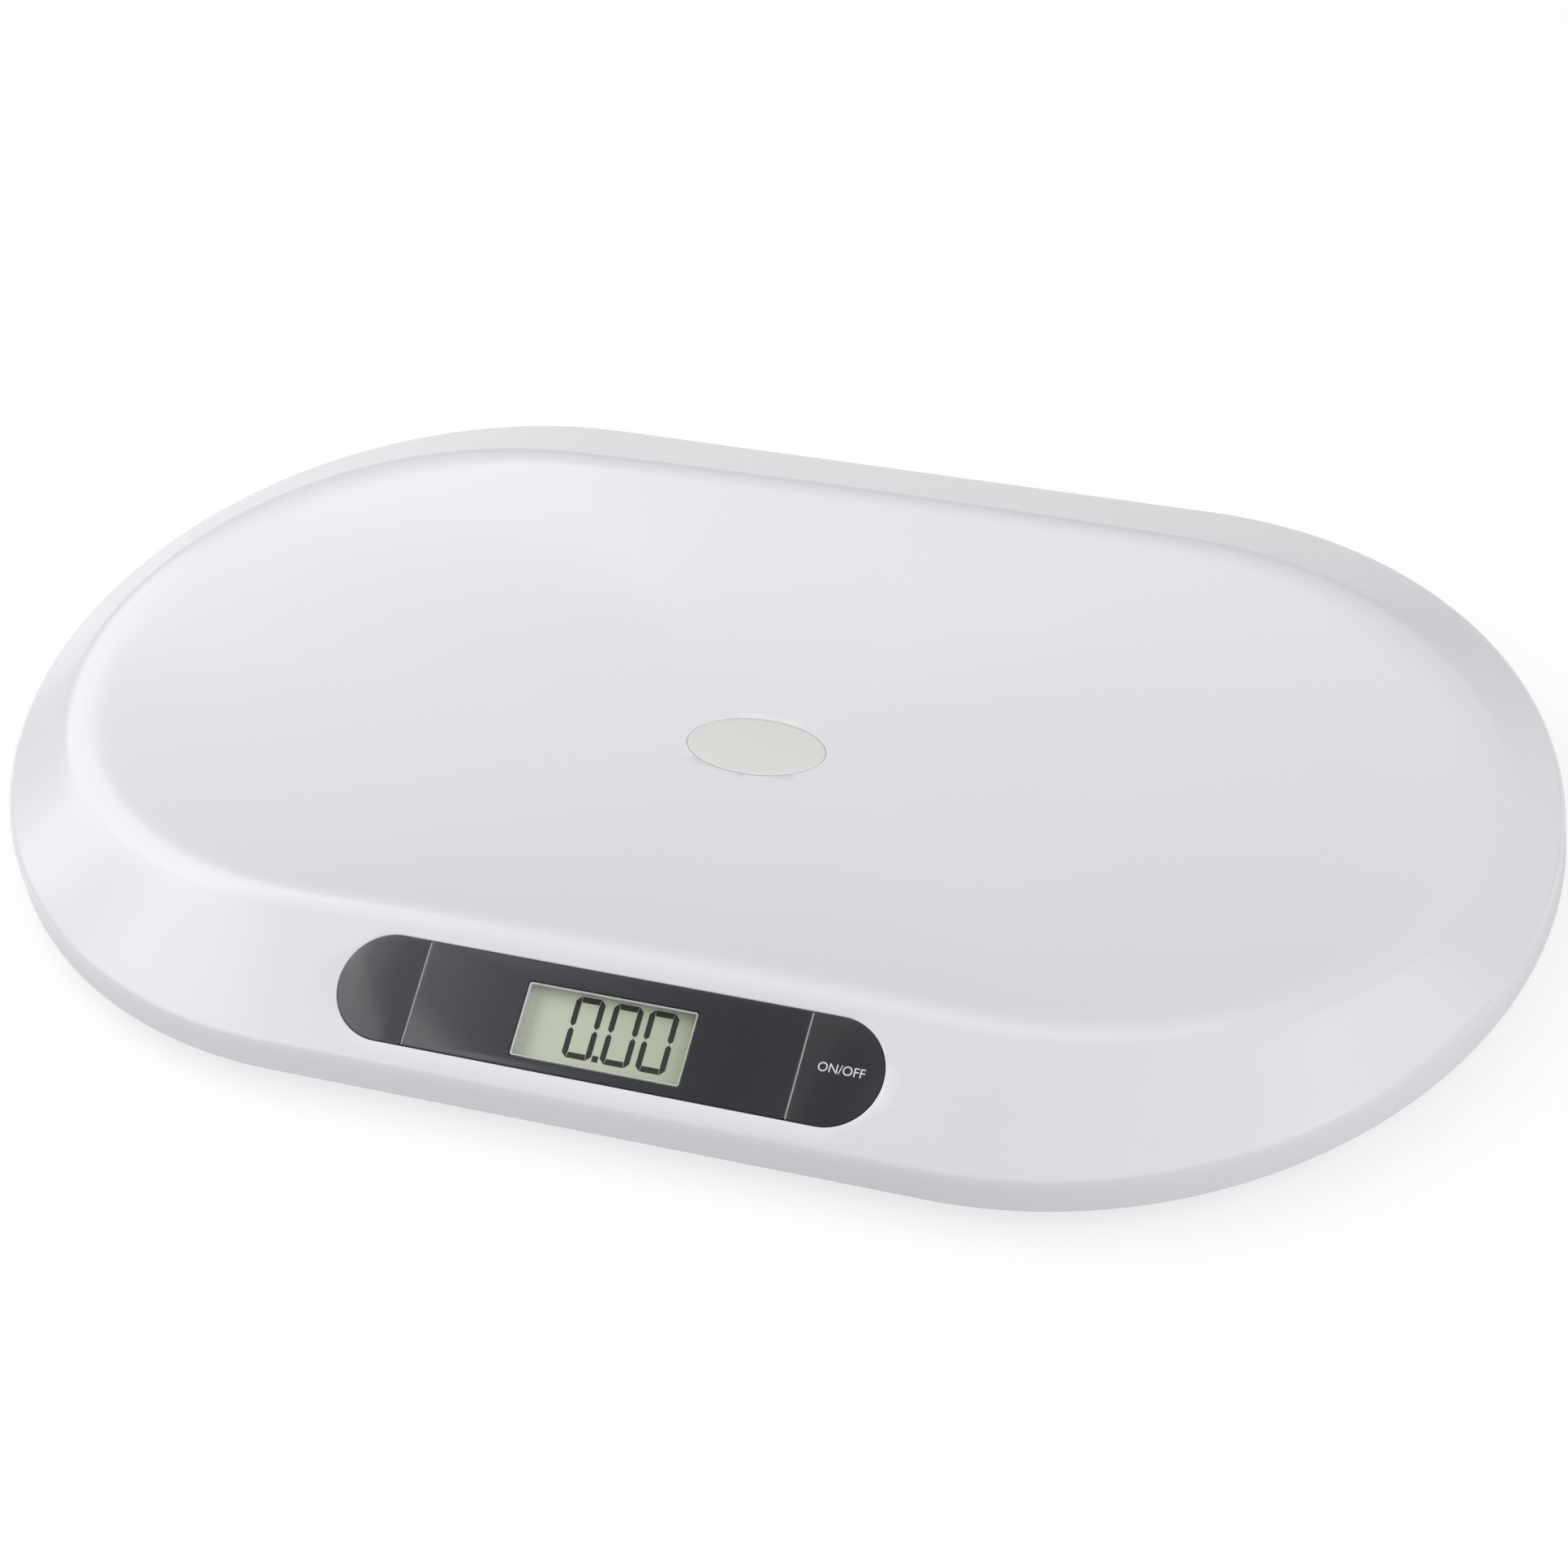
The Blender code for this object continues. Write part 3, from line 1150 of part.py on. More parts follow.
def smooth_route(knots, steps):
    """Points read from a smooth curve through the route's own points."""
    points = [Vector(knot) for knot in knots]
    ends = [points[0] * 2 - points[1]] + points + [points[-1] * 2 - points[-2]]
    spans = len(points) - 1
    route = []
    for k in range(steps + 1):
        place = min(k / steps * spans, spans - EPSILON)
        i = int(place)
        t = place - i
        p0, p1, p2, p3 = ends[i:i + 4]
        route.append((p1 * 2 + (p2 - p0) * t + (p0 * 2 - p1 * 5 + p2 * 4 - p3) * t * t
                      + (p1 * 3 - p0 - p2 * 3 + p3) * t ** 3) / 2)
    return route


def pad_end(x, y):
    """The last two knots of a lead that rises square to the board."""
    return [from_panel(x, y, PARTS_TOP - LEAD_RISE), from_panel(x, y, LEAD_TOP)]


def cell_lead(name, place):
    """The lead of one load cell, along the base to the board."""
    x, y = place
    way = inward(x)
    low = BASE_TOP + LEAD_LIFT + CELL_LEAD_RADIUS
    mid = (CELL_BOTTOM + CELL_TOP) / 2
    knots = [(x + way * (CELL_SIZE / 2 + GAP), y, mid), (x + way * (bracket_half() + LEAD_NOTCH), y, mid),
             (x + way * (bracket_half() + CELL_LEAD_BEND), y, low)]
    if y < 0:
        end = pad_end(-way * CELL_LEAD_FRONT_PAD[0], CELL_LEAD_FRONT_PAD[1])
        knots.append((-way * (CELL_LEAD_AISLE + CELL_LEAD_BEND), y - CELL_LEAD_BEND / 2, low))
    else:
        end = pad_end(-way * CELL_LEAD_REAR_PAD[0], CELL_LEAD_REAR_PAD[1])
        knots.append((-way * (CELL_LEAD_AISLE + CELL_LEAD_BEND), y - CELL_LEAD_BEND, low))
        knots.append((-way * CELL_LEAD_AISLE, 0, low))
        knots.append((-way * CELL_LEAD_AISLE, -y, low))
    knots.append((end[0].x, end[0].y + LEAD_RISE, low))
    finish = lead_sleeve("grey", (0.35, 0.35, 0.36))
    wire("cell_lead_" + name, smooth_route(knots + end, LEAD_STEPS), CELL_LEAD_RADIUS, finish)


def battery_leads():
    """The red and the black lead from the bay to the board."""
    finishes = (lead_sleeve("red", (0.55, 0.03, 0.03)), lead_sleeve("black", (0.02, 0.02, 0.02)))
    wall = -DOOR_HALF_WIDTH - BLOCK_WALL
    for name, x, finish in zip(("red", "black"), battery_lead_places(), finishes):
        way = 1 if x > 0 else -1
        high = battery_lead_height()
        end = pad_end(way * BATTERY_LEAD_PAD[0], BATTERY_LEAD_PAD[1])
        knots = [(x, -BAY_HALF_WIDTH, high), (x, wall - LEAD_RISE, high), (x, 3 * wall, high)]
        wire("battery_lead_" + name, smooth_route(knots + end, LEAD_STEPS), BATTERY_LEAD_RADIUS, finish)


def main():
    clear_scene()
    frame = panel_empty()
    bpy.context.view_layer.update()
    tray_shell(frame)
    badge()
    base_cover()
    battery_door()
    batteries()
    battery_contacts()
    for name, place in foot_places().items():
        foot(name, place)
        load_cell(name, place)
        load_cell_bracket(name, place)
        cell_lead(name, place)
    battery_leads()
    fascia(frame)
    button("unit", -1, frame)
    button("power", 1, frame)
    panel_carrier(frame)
    display(frame)
    board(frame)
    screws()
    bpy.context.view_layer.update()


if __name__ == "__main__":
    main()
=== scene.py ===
"""Looks of the baby weighing scale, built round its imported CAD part."""

import math

import bmesh
import bpy
from mathutils import Matrix, Vector

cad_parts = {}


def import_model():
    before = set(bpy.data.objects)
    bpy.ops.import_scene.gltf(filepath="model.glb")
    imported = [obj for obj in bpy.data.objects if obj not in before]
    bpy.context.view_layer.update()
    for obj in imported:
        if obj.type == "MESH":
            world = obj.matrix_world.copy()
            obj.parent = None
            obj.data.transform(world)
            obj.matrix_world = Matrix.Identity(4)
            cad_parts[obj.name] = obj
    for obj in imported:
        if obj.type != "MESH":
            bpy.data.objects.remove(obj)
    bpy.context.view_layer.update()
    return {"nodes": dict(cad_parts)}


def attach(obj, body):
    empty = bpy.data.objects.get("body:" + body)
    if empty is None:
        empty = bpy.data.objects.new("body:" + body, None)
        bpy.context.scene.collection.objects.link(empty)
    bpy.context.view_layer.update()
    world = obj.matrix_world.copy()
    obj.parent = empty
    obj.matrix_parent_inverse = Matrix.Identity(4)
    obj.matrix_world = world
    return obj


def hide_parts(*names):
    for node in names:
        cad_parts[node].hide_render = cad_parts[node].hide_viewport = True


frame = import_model()
NODES = frame["nodes"]

# The tray, as in the part
HALF_WIDTH = 0.160
HALF_STRAIGHT = 0.115
HALF_LENGTH = HALF_STRAIGHT + HALF_WIDTH
STAND_HEIGHT = 0.010
RIM_Z = 0.0242
EDGE_RADIUS = 0.004
WALL = 0.0025
DECK_ANGLE = math.radians(25.0)
DECK_BACK_WIDTH = 0.040
DECK_END_WIDTH = 0.022
CREST_END_RISE = 0.0112
CREST_FRONT_BULGE = 0.65
CREST_SOFTNESS = 0.006
CREST_EASE = 0.00012
DISH_FLOOR_RISE = 0.0062
DISH_POWER = 2.2
GAP = 0.0003
PANEL_RADIUS = 0.018
PANEL_PLACE = 0.0078 + PANEL_RADIUS * math.cos(DECK_ANGLE)
DECK_FRONT_WIDTH = PANEL_PLACE + PANEL_RADIUS * math.cos(DECK_ANGLE) + 0.0086
DECK_START_INSET = EDGE_RADIUS * (1 - math.sin(DECK_ANGLE))
DECK_START_Z = RIM_Z - EDGE_RADIUS * (1 - math.cos(DECK_ANGLE))
CREST_HALF_LENGTH = HALF_LENGTH - DECK_END_WIDTH
CREST_HALF_WIDTH = HALF_WIDTH - (DECK_FRONT_WIDTH + DECK_BACK_WIDTH) / 2
CREST_SHIFT = (DECK_FRONT_WIDTH - DECK_BACK_WIDTH) / 2
CREST_HALF_STRAIGHT = HALF_STRAIGHT + 0.003
CREST_SIDE_RISE = DECK_START_Z - RIM_Z + (DECK_FRONT_WIDTH - DECK_START_INSET) * math.tan(DECK_ANGLE)

# The panel, as in the part
PANEL_HALF = 0.095
PANEL_THICKNESS = 0.002
FASCIA_HALF = 0.0667
SPLIT_END = 0.0673
WINDOW = (0.0295, 0.0125, 0.0008, -0.00165)  # half sizes, corner radius and shift down the slope
LCD_FACE = -0.0046
POST_BOTTOM = -0.0031
SWITCH_PLACE = PANEL_HALF - PANEL_RADIUS
BADGE = (0.025, 0.01325, 0.0013)  # half sizes and shift to the rear

# Fine edges of the tray's openings and of the inlay: margin and height of each ring
OPENING_EDGE = ((0, -0.006), (0, -0.0004), (0.0001, -0.00012), (0.00035, 0.00004), (0.0012, 0.0004))
SEAT_EDGE = ((0.0002, -0.0006), (0.0002, 0.00005), (0.0005, 0.0003), (0.0008, 0.002))
BADGE_EDGE = ((0.0, -0.0006), (0.0, 0.00005), (-0.0001, 0.00016), (-0.0004, 0.00022))
BADGE_CROWN_RUN = 0.0125
BADGE_CROWN_RISE = 0.00016
BADGE_CROWN_STEPS = 6

# Fine edges of the panel
PANEL_EDGE = 0.00025
PANEL_CORNER = 0.001
WINDOW_EDGE = ((0, -0.004), (0, -0.0010), (0.0006, 0.00002), (0.0012, 0.001))
LENS_POCKET = ((0.002, -0.004), (0.002, -0.0008))
LINING = ((-0.00002, -0.00105), (-0.00002, -0.00012), (-0.0001, -0.00004), (-0.00018, -0.00006),
          (-0.00050, -0.00050), (-0.00050, -0.00105))
KEY_STEPS = 40
POST_HALF = (0.0025, 0.00249)
POST_STEPS = 12
POST_SUNK = 0.0004
SEPARATOR_RADIUS = 0.00029
SEPARATOR_DEPTH = 0.00027
SEPARATOR_INSET = 0.0002

# Display: the segments lie deep under the panel, so they're set where the camera sees them in place
SIGHT_SLOPE = (0.385, -0.333)
SEEN_SHIFT = (SIGHT_SLOPE[0] * LCD_FACE, SIGHT_SLOPE[1] * LCD_FACE)
DIGITS_X = (-0.00705, 0.0063, 0.01875)
DIGITS_Y = -0.00165
DIGIT_HALF = (0.00515, 0.0104)
STROKE = 0.00195
DIGIT_CORNER = 0.0016
SEGMENT_SPLIT = 0.0002
DOT = (-0.00044, -0.0109, 0.00105)  # place and half size
SWITCH_WORDS = (0.0810, 0.0011, 0.0158)  # place and width
INK_LIFT = 0.00002
INK_THICKNESS = 0.00004

# Pieces that show underneath
RECESS_HALF = (0.0017, 0.00042)
RECESS_DEPTH = 0.0011
RECESS_TURN = 0.7
GROOVE_RADII = (0.0035, 0.0070, 0.0105)
GROOVE_WIDTH = 0.001
GROOVE_DEPTH = 0.0005
GROOVE_DRAFT = 0.0002
OVERRUN = 0.001
SQUARE = ((-1, -1), (1, -1), (1, 1), (-1, 1))

# Light: azimuth and elevation in degrees, then sharpness and strength, or power in watts
SKY = ((45, 58, 8, 1.53), (90, 25, 5, 0.24), (65, 25, 24, 2.13), (160, 25, 24, 0.75),
       (208, 66, 24, 1.46), (256, 25, 24, 0.21), (256, 50, 24, 1.55), (300, 45, 24, 0.55))
SKY_COLOUR = (1.0, 1.0, 1.0, 1.0)
LAMPS = (("lamp_right", 90, 40, 2.9), ("lamp_left_rear", 250, 35, 4.8), ("lamp_left_front", 300, 35, 3.6))
LAMP_SIZE = 0.9
LAMP_DISTANCE = 1.3
FLOOR_SHADOW = 0.32
FLOOR_GLOW = 1.07

# Camera solved from the photo
PHOTO_SIDE = 1932
FOCAL_PIXELS = 5290.0
AZIMUTH = math.radians(27.99)
ELEVATION = math.radians(43.04)
ROLL = math.radians(-10.6)
DISTANCE = 1.47
CENTRE_PIXEL = (933.2, 939.8)


def link(name, mesh):
    """Puts a mesh in the scene as an object."""
    made = bpy.data.objects.new(name, mesh)
    bpy.context.scene.collection.objects.link(made)
    return made


def shade(made, angle=30.0):
    """Smooth shading with its sharp edges kept."""
    made.data.shade_smooth()
    made.data.set_sharp_from_angle(angle=math.radians(angle))


def dress(made, finish, body="housing", replaced=()):
    """Gives a piece its material and its body, and hides the nodes it stands for."""
    if made.type == "MESH":
        made.data.materials.clear()
    made.data.materials.append(finish)
    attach(made, body)
    if replaced:
        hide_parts(*replaced)
    return made


# Materials


class Shader:
    """A small helper for building a node material."""

    def __init__(self, name, colour, roughness, metallic=0.0):
        """A plain material to build on."""
        self.material = bpy.data.materials.new(name)
        self.material.use_nodes = True
        self.tree = self.material.node_tree
        self.shader = self.tree.nodes["Principled BSDF"]
        self.colour = colour
        self.shader.inputs["Base Color"].default_value = (*colour, 1.0)
        self.shader.inputs["Roughness"].default_value = roughness
        self.shader.inputs["Metallic"].default_value = metallic
        self.material.diffuse_color = (*colour, 1.0)
        self.place = self.tree.nodes.new("ShaderNodeTexCoord").outputs["Object"]

    def set(self, **values):
        """Sets plain values of the shader."""
        for key, value in values.items():
            self.shader.inputs[key.replace("_", " ")].default_value = value
        return self

    def noise(self, scale, detail=3.0, roughness=0.55, source=None):
        """A noise pattern as a number."""
        made = self.tree.nodes.new("ShaderNodeTexNoise")
        made.inputs["Scale"].default_value = scale
        made.inputs["Detail"].default_value = detail
        made.inputs["Roughness"].default_value = roughness
        self.tree.links.new(source or self.place, made.inputs["Vector"])
        return made.outputs["Fac"]

    def stretch(self, scale):
        """The coordinates, stretched."""
        made = self.tree.nodes.new("ShaderNodeMapping")
        made.inputs["Scale"].default_value = scale
        self.tree.links.new(self.place, made.inputs["Vector"])
        return made.outputs["Vector"]

    def span(self, source, low, high, start=0.0, end=1.0):
        """A number mapped to a new range."""
        made = self.tree.nodes.new("ShaderNodeMapRange")
        made.inputs["From Min"].default_value = start
        made.inputs["From Max"].default_value = end
        made.inputs["To Min"].default_value = low
        made.inputs["To Max"].default_value = high
        self.tree.links.new(source, made.inputs["Value"])
        return made.outputs["Result"]

    def blend(self, factor, first, second):
        """A colour between two others."""
        made = self.tree.nodes.new("ShaderNodeMix")
        made.data_type = "RGBA"
        self.tree.links.new(factor, made.inputs["Factor"])
        for socket, value in ((made.inputs["A"], first), (made.inputs["B"], second)):
            if isinstance(value, tuple):
                socket.default_value = (*value, 1.0)
            else:
                self.tree.links.new(value, socket)
        return made.outputs["Result"]

    def paint(self, source):
        """Uses a pattern as the colour."""
        self.tree.links.new(source, self.shader.inputs["Base Color"])
        return self

    def gloss(self, source):
        """Uses a pattern as the roughness."""
        self.tree.links.new(source, self.shader.inputs["Roughness"])
        return self

    def relief(self, source, strength, distance):
        """Uses a pattern as fine relief."""
        made = self.tree.nodes.new("ShaderNodeBump")
        made.inputs["Strength"].default_value = strength
        made.inputs["Distance"].default_value = distance
        self.tree.links.new(source, made.inputs["Height"])
        self.tree.links.new(made.outputs["Normal"], self.shader.inputs["Normal"])
        return self


def scaled(colour, by):
    """A colour made lighter or darker."""
    return tuple(min(1.0, c * by) for c in colour)


def polished_plastic(name, colour, roughness):
    """Polished moulding: a hardly uneven colour and gloss, with a faint wave in the surface."""
    made = Shader(name, colour, roughness)
    made.set(IOR=1.5)
    cloud = made.noise(14.0, 4.0)
    made.paint(made.blend(cloud, scaled(colour, 0.985), scaled(colour, 1.012)))
    grain = made.noise(900.0, 3.0)
    made.gloss(made.span(grain, roughness * 0.85, roughness * 1.2, 0.3, 0.7))
    made.relief(made.noise(160.0, 2.0), 0.02, 0.0004)
    return made.material


def textured_plastic(name, colour, roughness, grain=2600.0):
    """Moulding with a spark-eroded texture."""
    made = Shader(name, colour, roughness)
    cloud = made.noise(22.0, 4.0)
    made.paint(made.blend(cloud, scaled(colour, 0.95), scaled(colour, 1.03)))
    fine = made.noise(grain, 4.0, 0.7)
    made.gloss(made.span(fine, roughness * 0.85, roughness * 1.15, 0.3, 0.7))
    made.relief(fine, 0.25, 0.00008)
    return made.material


def dark_acrylic_painted_sheen(name, left, right):
    """Dark printed acrylic with faint dust and a little random cloud in its tone; its colour is lighter
    towards the left end, a painted reflection of the light that the glossy panel shows there.
    """
    made = Shader(name, right, 0.16)
    made.set(IOR=1.49)
    apart = made.tree.nodes.new("ShaderNodeSeparateXYZ")
    made.tree.links.new(made.place, apart.inputs["Vector"])
    # Painted reflection: the colour runs from the lighter left one at the panel's left end to the darker
    # right one past its middle
    along = made.span(apart.outputs["X"], 0.0, 1.0, -PANEL_HALF, 0.045)
    cloud = made.span(made.noise(30.0, 3.0), -0.12, 0.12)
    mixed = made.tree.nodes.new("ShaderNodeMath")
    mixed.operation = "ADD"
    mixed.use_clamp = True
    made.tree.links.new(along, mixed.inputs[0])
    made.tree.links.new(cloud, mixed.inputs[1])
    base = made.blend(mixed.outputs[0], left, right)
    dust = made.span(made.noise(2200.0, 2.0), 0.0, 0.35, 0.72, 0.80)
    made.paint(made.blend(dust, base, scaled(left, 2.2)))
    made.gloss(made.span(made.noise(500.0, 3.0), 0.13, 0.2, 0.3, 0.7))
    made.relief(made.noise(70.0, 2.0), 0.015, 0.0004)
    return made.material


def brushed_metal(name, colour, roughness, along=(1.0, 30.0, 1.0)):
    """Rolled or brushed metal, streaked one way."""
    made = Shader(name, colour, roughness, 1.0)
    streak = made.noise(120.0, 4.0, 0.6, made.stretch(along))
    made.paint(made.blend(streak, scaled(colour, 0.82), scaled(colour, 1.08)))
    made.gloss(made.span(streak, roughness * 0.75, roughness * 1.35, 0.3, 0.7))
    made.relief(streak, 0.12, 0.00006)
    return made.material


def rubber(name, colour):
    """Matt rubber with a dusty bloom."""
    made = Shader(name, colour, 0.78)
    made.set(Specular_IOR_Level=0.35)
    bloom = made.noise(60.0, 4.0, 0.6)
    made.paint(made.blend(bloom, scaled(colour, 0.86), scaled(colour, 1.18)))
    made.gloss(made.span(bloom, 0.7, 0.88))
    made.relief(made.noise(3000.0, 3.0), 0.3, 0.00006)
    return made.material


def board_finish():
    """Green solder mask with copper tracks just under it."""
    made = Shader("board_mask", (0.02, 0.14, 0.06), 0.32)
    cells = made.tree.nodes.new("ShaderNodeTexVoronoi")
    cells.distance = "CHEBYCHEV"
    cells.feature = "F1"
    cells.inputs["Scale"].default_value = 240.0
    made.tree.links.new(made.place, cells.inputs["Vector"])
    track = made.span(cells.outputs["Distance"], 1.0, 0.0, 0.30, 0.34)
    made.paint(made.blend(track, (0.015, 0.11, 0.045), (0.05, 0.24, 0.11)))
    made.relief(track, 0.2, 0.00004)
    made.gloss(made.span(made.noise(300.0), 0.26, 0.4))
    return made.material


def sleeve(name, colour):
    """Soft lead insulation."""
    made = Shader(name, colour, 0.42)
    cloud = made.noise(180.0, 3.0)
    made.paint(made.blend(cloud, scaled(colour, 0.8), scaled(colour, 1.15)))
    made.gloss(made.span(made.noise(700.0), 0.34, 0.52))
    made.relief(made.noise(500.0, 2.0), 0.1, 0.00008)
    return made.material


def battery_finish():
    """A plain printed battery sleeve: a dark body with a copper-coloured band at one end."""
    made = Shader("battery_sleeve", (0.02, 0.03, 0.06), 0.3, 0.4)
    apart = made.tree.nodes.new("ShaderNodeSeparateXYZ")
    made.tree.links.new(made.place, apart.inputs["Vector"])
    band = made.span(apart.outputs["Y"], 0.0, 1.0, 0.0095, 0.0100)
    body = made.blend(made.noise(90.0), (0.018, 0.028, 0.060), (0.030, 0.042, 0.082))
    made.paint(made.blend(band, body, (0.52, 0.24, 0.11)))
    made.gloss(made.span(made.noise(400.0), 0.24, 0.38))
    return made.material


def liquid_crystal():
    """Grey-green reflective display, a little darker towards one side."""
    made = Shader("liquid_crystal", (0.50, 0.55, 0.42), 0.42)
    apart = made.tree.nodes.new("ShaderNodeSeparateXYZ")
    made.tree.links.new(made.place, apart.inputs["Vector"])
    along = made.span(apart.outputs["X"], 0.0, 1.0, -0.030, 0.030)
    base = made.blend(along, (0.76, 0.82, 0.65), (0.56, 0.62, 0.46))
    grain = made.noise(3500.0, 2.0)
    made.paint(made.blend(made.span(grain, 0.0, 0.25, 0.4, 0.7), base, (0.80, 0.85, 0.69)))
    made.gloss(made.span(made.noise(250.0), 0.36, 0.5))
    return made.material


def clear_window():
    """A clear lens that shows what's behind it, with faint haze."""
    made = Shader("clear_lens", (0.10, 0.10, 0.10), 0.06)
    haze = made.noise(40.0, 3.0)
    made.gloss(made.span(haze, 0.04, 0.10))
    made.paint(made.blend(haze, (0.08, 0.08, 0.08), (0.14, 0.14, 0.13)))
    made.set(Alpha=0.07)
    return made.material


def print_ink(name, colour, roughness=0.55):
    """Screen-printed ink, a little uneven."""
    made = Shader(name, colour, roughness)
    grain = made.noise(2400.0, 3.0)
    made.paint(made.blend(grain, scaled(colour, 0.9), scaled(colour, 1.05)))
    made.gloss(made.span(grain, roughness * 0.85, roughness * 1.15))
    return made.material


WHITE = (0.797, 0.794, 0.826)
TRAY = polished_plastic("tray_white", WHITE, 0.20)
SHELL = textured_plastic("base_white", (0.70, 0.70, 0.715), 0.42)
# The lighter left colour paints the reflection on the panel's left end
PAINTED_SHEEN_ACRYLIC = dark_acrylic_painted_sheen("panel_acrylic_painted_sheen", (0.072, 0.072, 0.082), (0.030, 0.029, 0.035))
LENS = clear_window()
CRYSTAL = liquid_crystal()
SEGMENT = print_ink("segment_black", (0.008, 0.010, 0.008), 0.5)
WORDS = print_ink("ink_white", (0.78, 0.78, 0.80))
BRIGHT = polished_plastic("trim_line", (0.42, 0.42, 0.43), 0.3)
# Light grey that paints the highlight on the window's bevelled edge
PAINTED_HIGHLIGHT_GREY = polished_plastic("painted_highlight_lining", (0.66, 0.67, 0.68), 0.25)
BADGE_FINISH = polished_plastic("badge_warm", (0.735, 0.735, 0.715), 0.34)
RUBBER = rubber("pad_rubber", (0.24, 0.24, 0.245))
STEEL = brushed_metal("rolled_steel", (0.62, 0.62, 0.63), 0.34)
NICKEL = brushed_metal("nickel", (0.70, 0.67, 0.60), 0.24, (1.0, 1.0, 20.0))
BLACK = textured_plastic("moulded_black", (0.025, 0.025, 0.027), 0.5)
BOARD = board_finish()
EPOXY = polished_plastic("cast_epoxy", (0.70, 0.64, 0.48), 0.35)
BATTERY = battery_finish()


# Shapes


def oval_shares(end_steps, side_steps):
    """Places round an oval: share along the straight run, then the end arc's cosine and sine."""
    shares = []
    for end in (1, -1):
        for i in range(end_steps):
            a = math.pi * (i / end_steps - 0.5)
            shares.append((end, end * math.cos(a), end * math.sin(a)))
        for i in range(side_steps):
            shares.append((end * (1 - 2 * i / side_steps), 0.0, end))
    return shares


SHARES = oval_shares(88, 20)


def rim_ring(inset, height):
    """One ring of the tray's outline."""
    reach = HALF_WIDTH - inset
    return [Vector((side * HALF_STRAIGHT + reach * c, reach * s, height)) for side, c, s in SHARES]


def crest_ring():
    """The line where the deck meets the dish."""
    ring = []
    end_reach = CREST_HALF_LENGTH - CREST_HALF_STRAIGHT
    for side, c, s in SHARES:
        x = side * CREST_HALF_STRAIGHT + end_reach * c
        drop = (CREST_SIDE_RISE - CREST_END_RISE) * (x / CREST_HALF_LENGTH) ** 2
        front = max(0.0, -s) ** 2
        bulge = front * CREST_FRONT_BULGE * drop
        height = RIM_Z + CREST_SIDE_RISE - drop + front * drop - bulge * math.tan(DECK_ANGLE)
        ring.append(Vector((x, CREST_SHIFT + CREST_HALF_WIDTH * s - bulge, height)))
    return ring


def tray_rings():
    """Rings of the upper surface, much finer than the part's own."""
    rings = [rim_ring(0.0003, STAND_HEIGHT), rim_ring(0.0, STAND_HEIGHT + 0.0003), rim_ring(0.0, 0.0150)]
    for i in range(9):
        a = i / 8 * (math.pi / 2 - DECK_ANGLE)
        rings.append(rim_ring(EDGE_RADIUS * (1 - math.cos(a)), RIM_Z - EDGE_RADIUS * (1 - math.sin(a))))
    foot = rings[-1]
    crest = crest_ring()
    middle = Vector((0, CREST_SHIFT, RIM_Z + DISH_FLOOR_RISE))

    def dish_ring(share):
        ring = []
        for point in crest:
            flat = middle.lerp(point, share)
            ring.append(Vector((flat.x, flat.y, middle.z + (point.z - middle.z) * share ** DISH_POWER)))
        return ring

    outer = [c + (f - c).normalized() * CREST_SOFTNESS for f, c in zip(foot, crest)]
    soft_share = 1 - CREST_SOFTNESS / CREST_HALF_WIDTH
    ease = Vector((0, 0, -CREST_EASE))
    inner = dish_ring(soft_share)
    for k in range(1, 5):
        rings.append([f.lerp(o, k / 5) for f, o in zip(foot, outer)])
    for k in range(9):
        t = k / 8
        rings.append([o * (1 - t) ** 2 + (c + ease) * (2 * t * (1 - t)) + i * t * t
                      for o, c, i in zip(outer, crest, inner)])
    for k in range(1, 26):
        rings.append(dish_ring(soft_share * (1 - k / 26)))
    return rings, middle


def loft(name, rings, cap_start=False, cap_end=False, tip=None):
    """A surface through rings of equal length."""
    shape = bmesh.new()
    rows = [[shape.verts.new(point) for point in ring] for ring in rings]
    count = len(rows[0])
    for low, high in zip(rows, rows[1:]):
        for i in range(count):
            shape.faces.new((low[i], low[(i + 1) % count], high[(i + 1) % count], high[i]))
    if tip is not None:
        top = shape.verts.new(tip)
        for i in range(count):
            shape.faces.new((rows[-1][i], rows[-1][(i + 1) % count], top))
    if cap_start:
        shape.faces.new(list(reversed(rows[0])))
    if cap_end:
        shape.faces.new(rows[-1])
    mesh = bpy.data.meshes.new(name)
    shape.to_mesh(mesh)
    shape.free()
    return mesh


def stadium(half_length, half_width, steps=40):
    """An outline with two straight sides and round ends."""
    straight = half_length - half_width
    return [(side * straight + half_width * c, half_width * s) for side, c, s in oval_shares(steps, 1)]


def rounded(half_x, half_y, corner, shift=0.0, steps=6):
    """A rectangle with round corners."""
    points = []
    for quarter, (sx, sy) in enumerate(((1, 1), (-1, 1), (-1, -1), (1, -1))):
        for i in range(steps + 1):
            a = math.pi / 2 * (quarter + i / steps)
            points.append((sx * (half_x - corner) + corner * math.cos(a),
                           shift + sy * (half_y - corner) + corner * math.sin(a)))
    return points


def ellipse(half_x, half_y, shift, steps=96):
    """An oval outline."""
    turns = [2 * math.pi * i / steps for i in range(steps)]
    return [(half_x * math.cos(a), shift + half_y * math.sin(a)) for a in turns]


def stack(outline_of, levels):
    """Rings of one outline at several (margin, height) levels."""
    return [[Vector((x, y, height)) for x, y in outline_of(margin)] for margin, height in levels]


def panel_matrix():
    """The place and the slope of the panel's middle."""
    y = -(HALF_WIDTH - PANEL_PLACE)
    z = DECK_START_Z + (PANEL_PLACE - DECK_START_INSET) * math.tan(DECK_ANGLE)
    return Matrix.Translation((0, y, z)) @ Matrix.Rotation(DECK_ANGLE, 4, "X")


PANEL = panel_matrix()


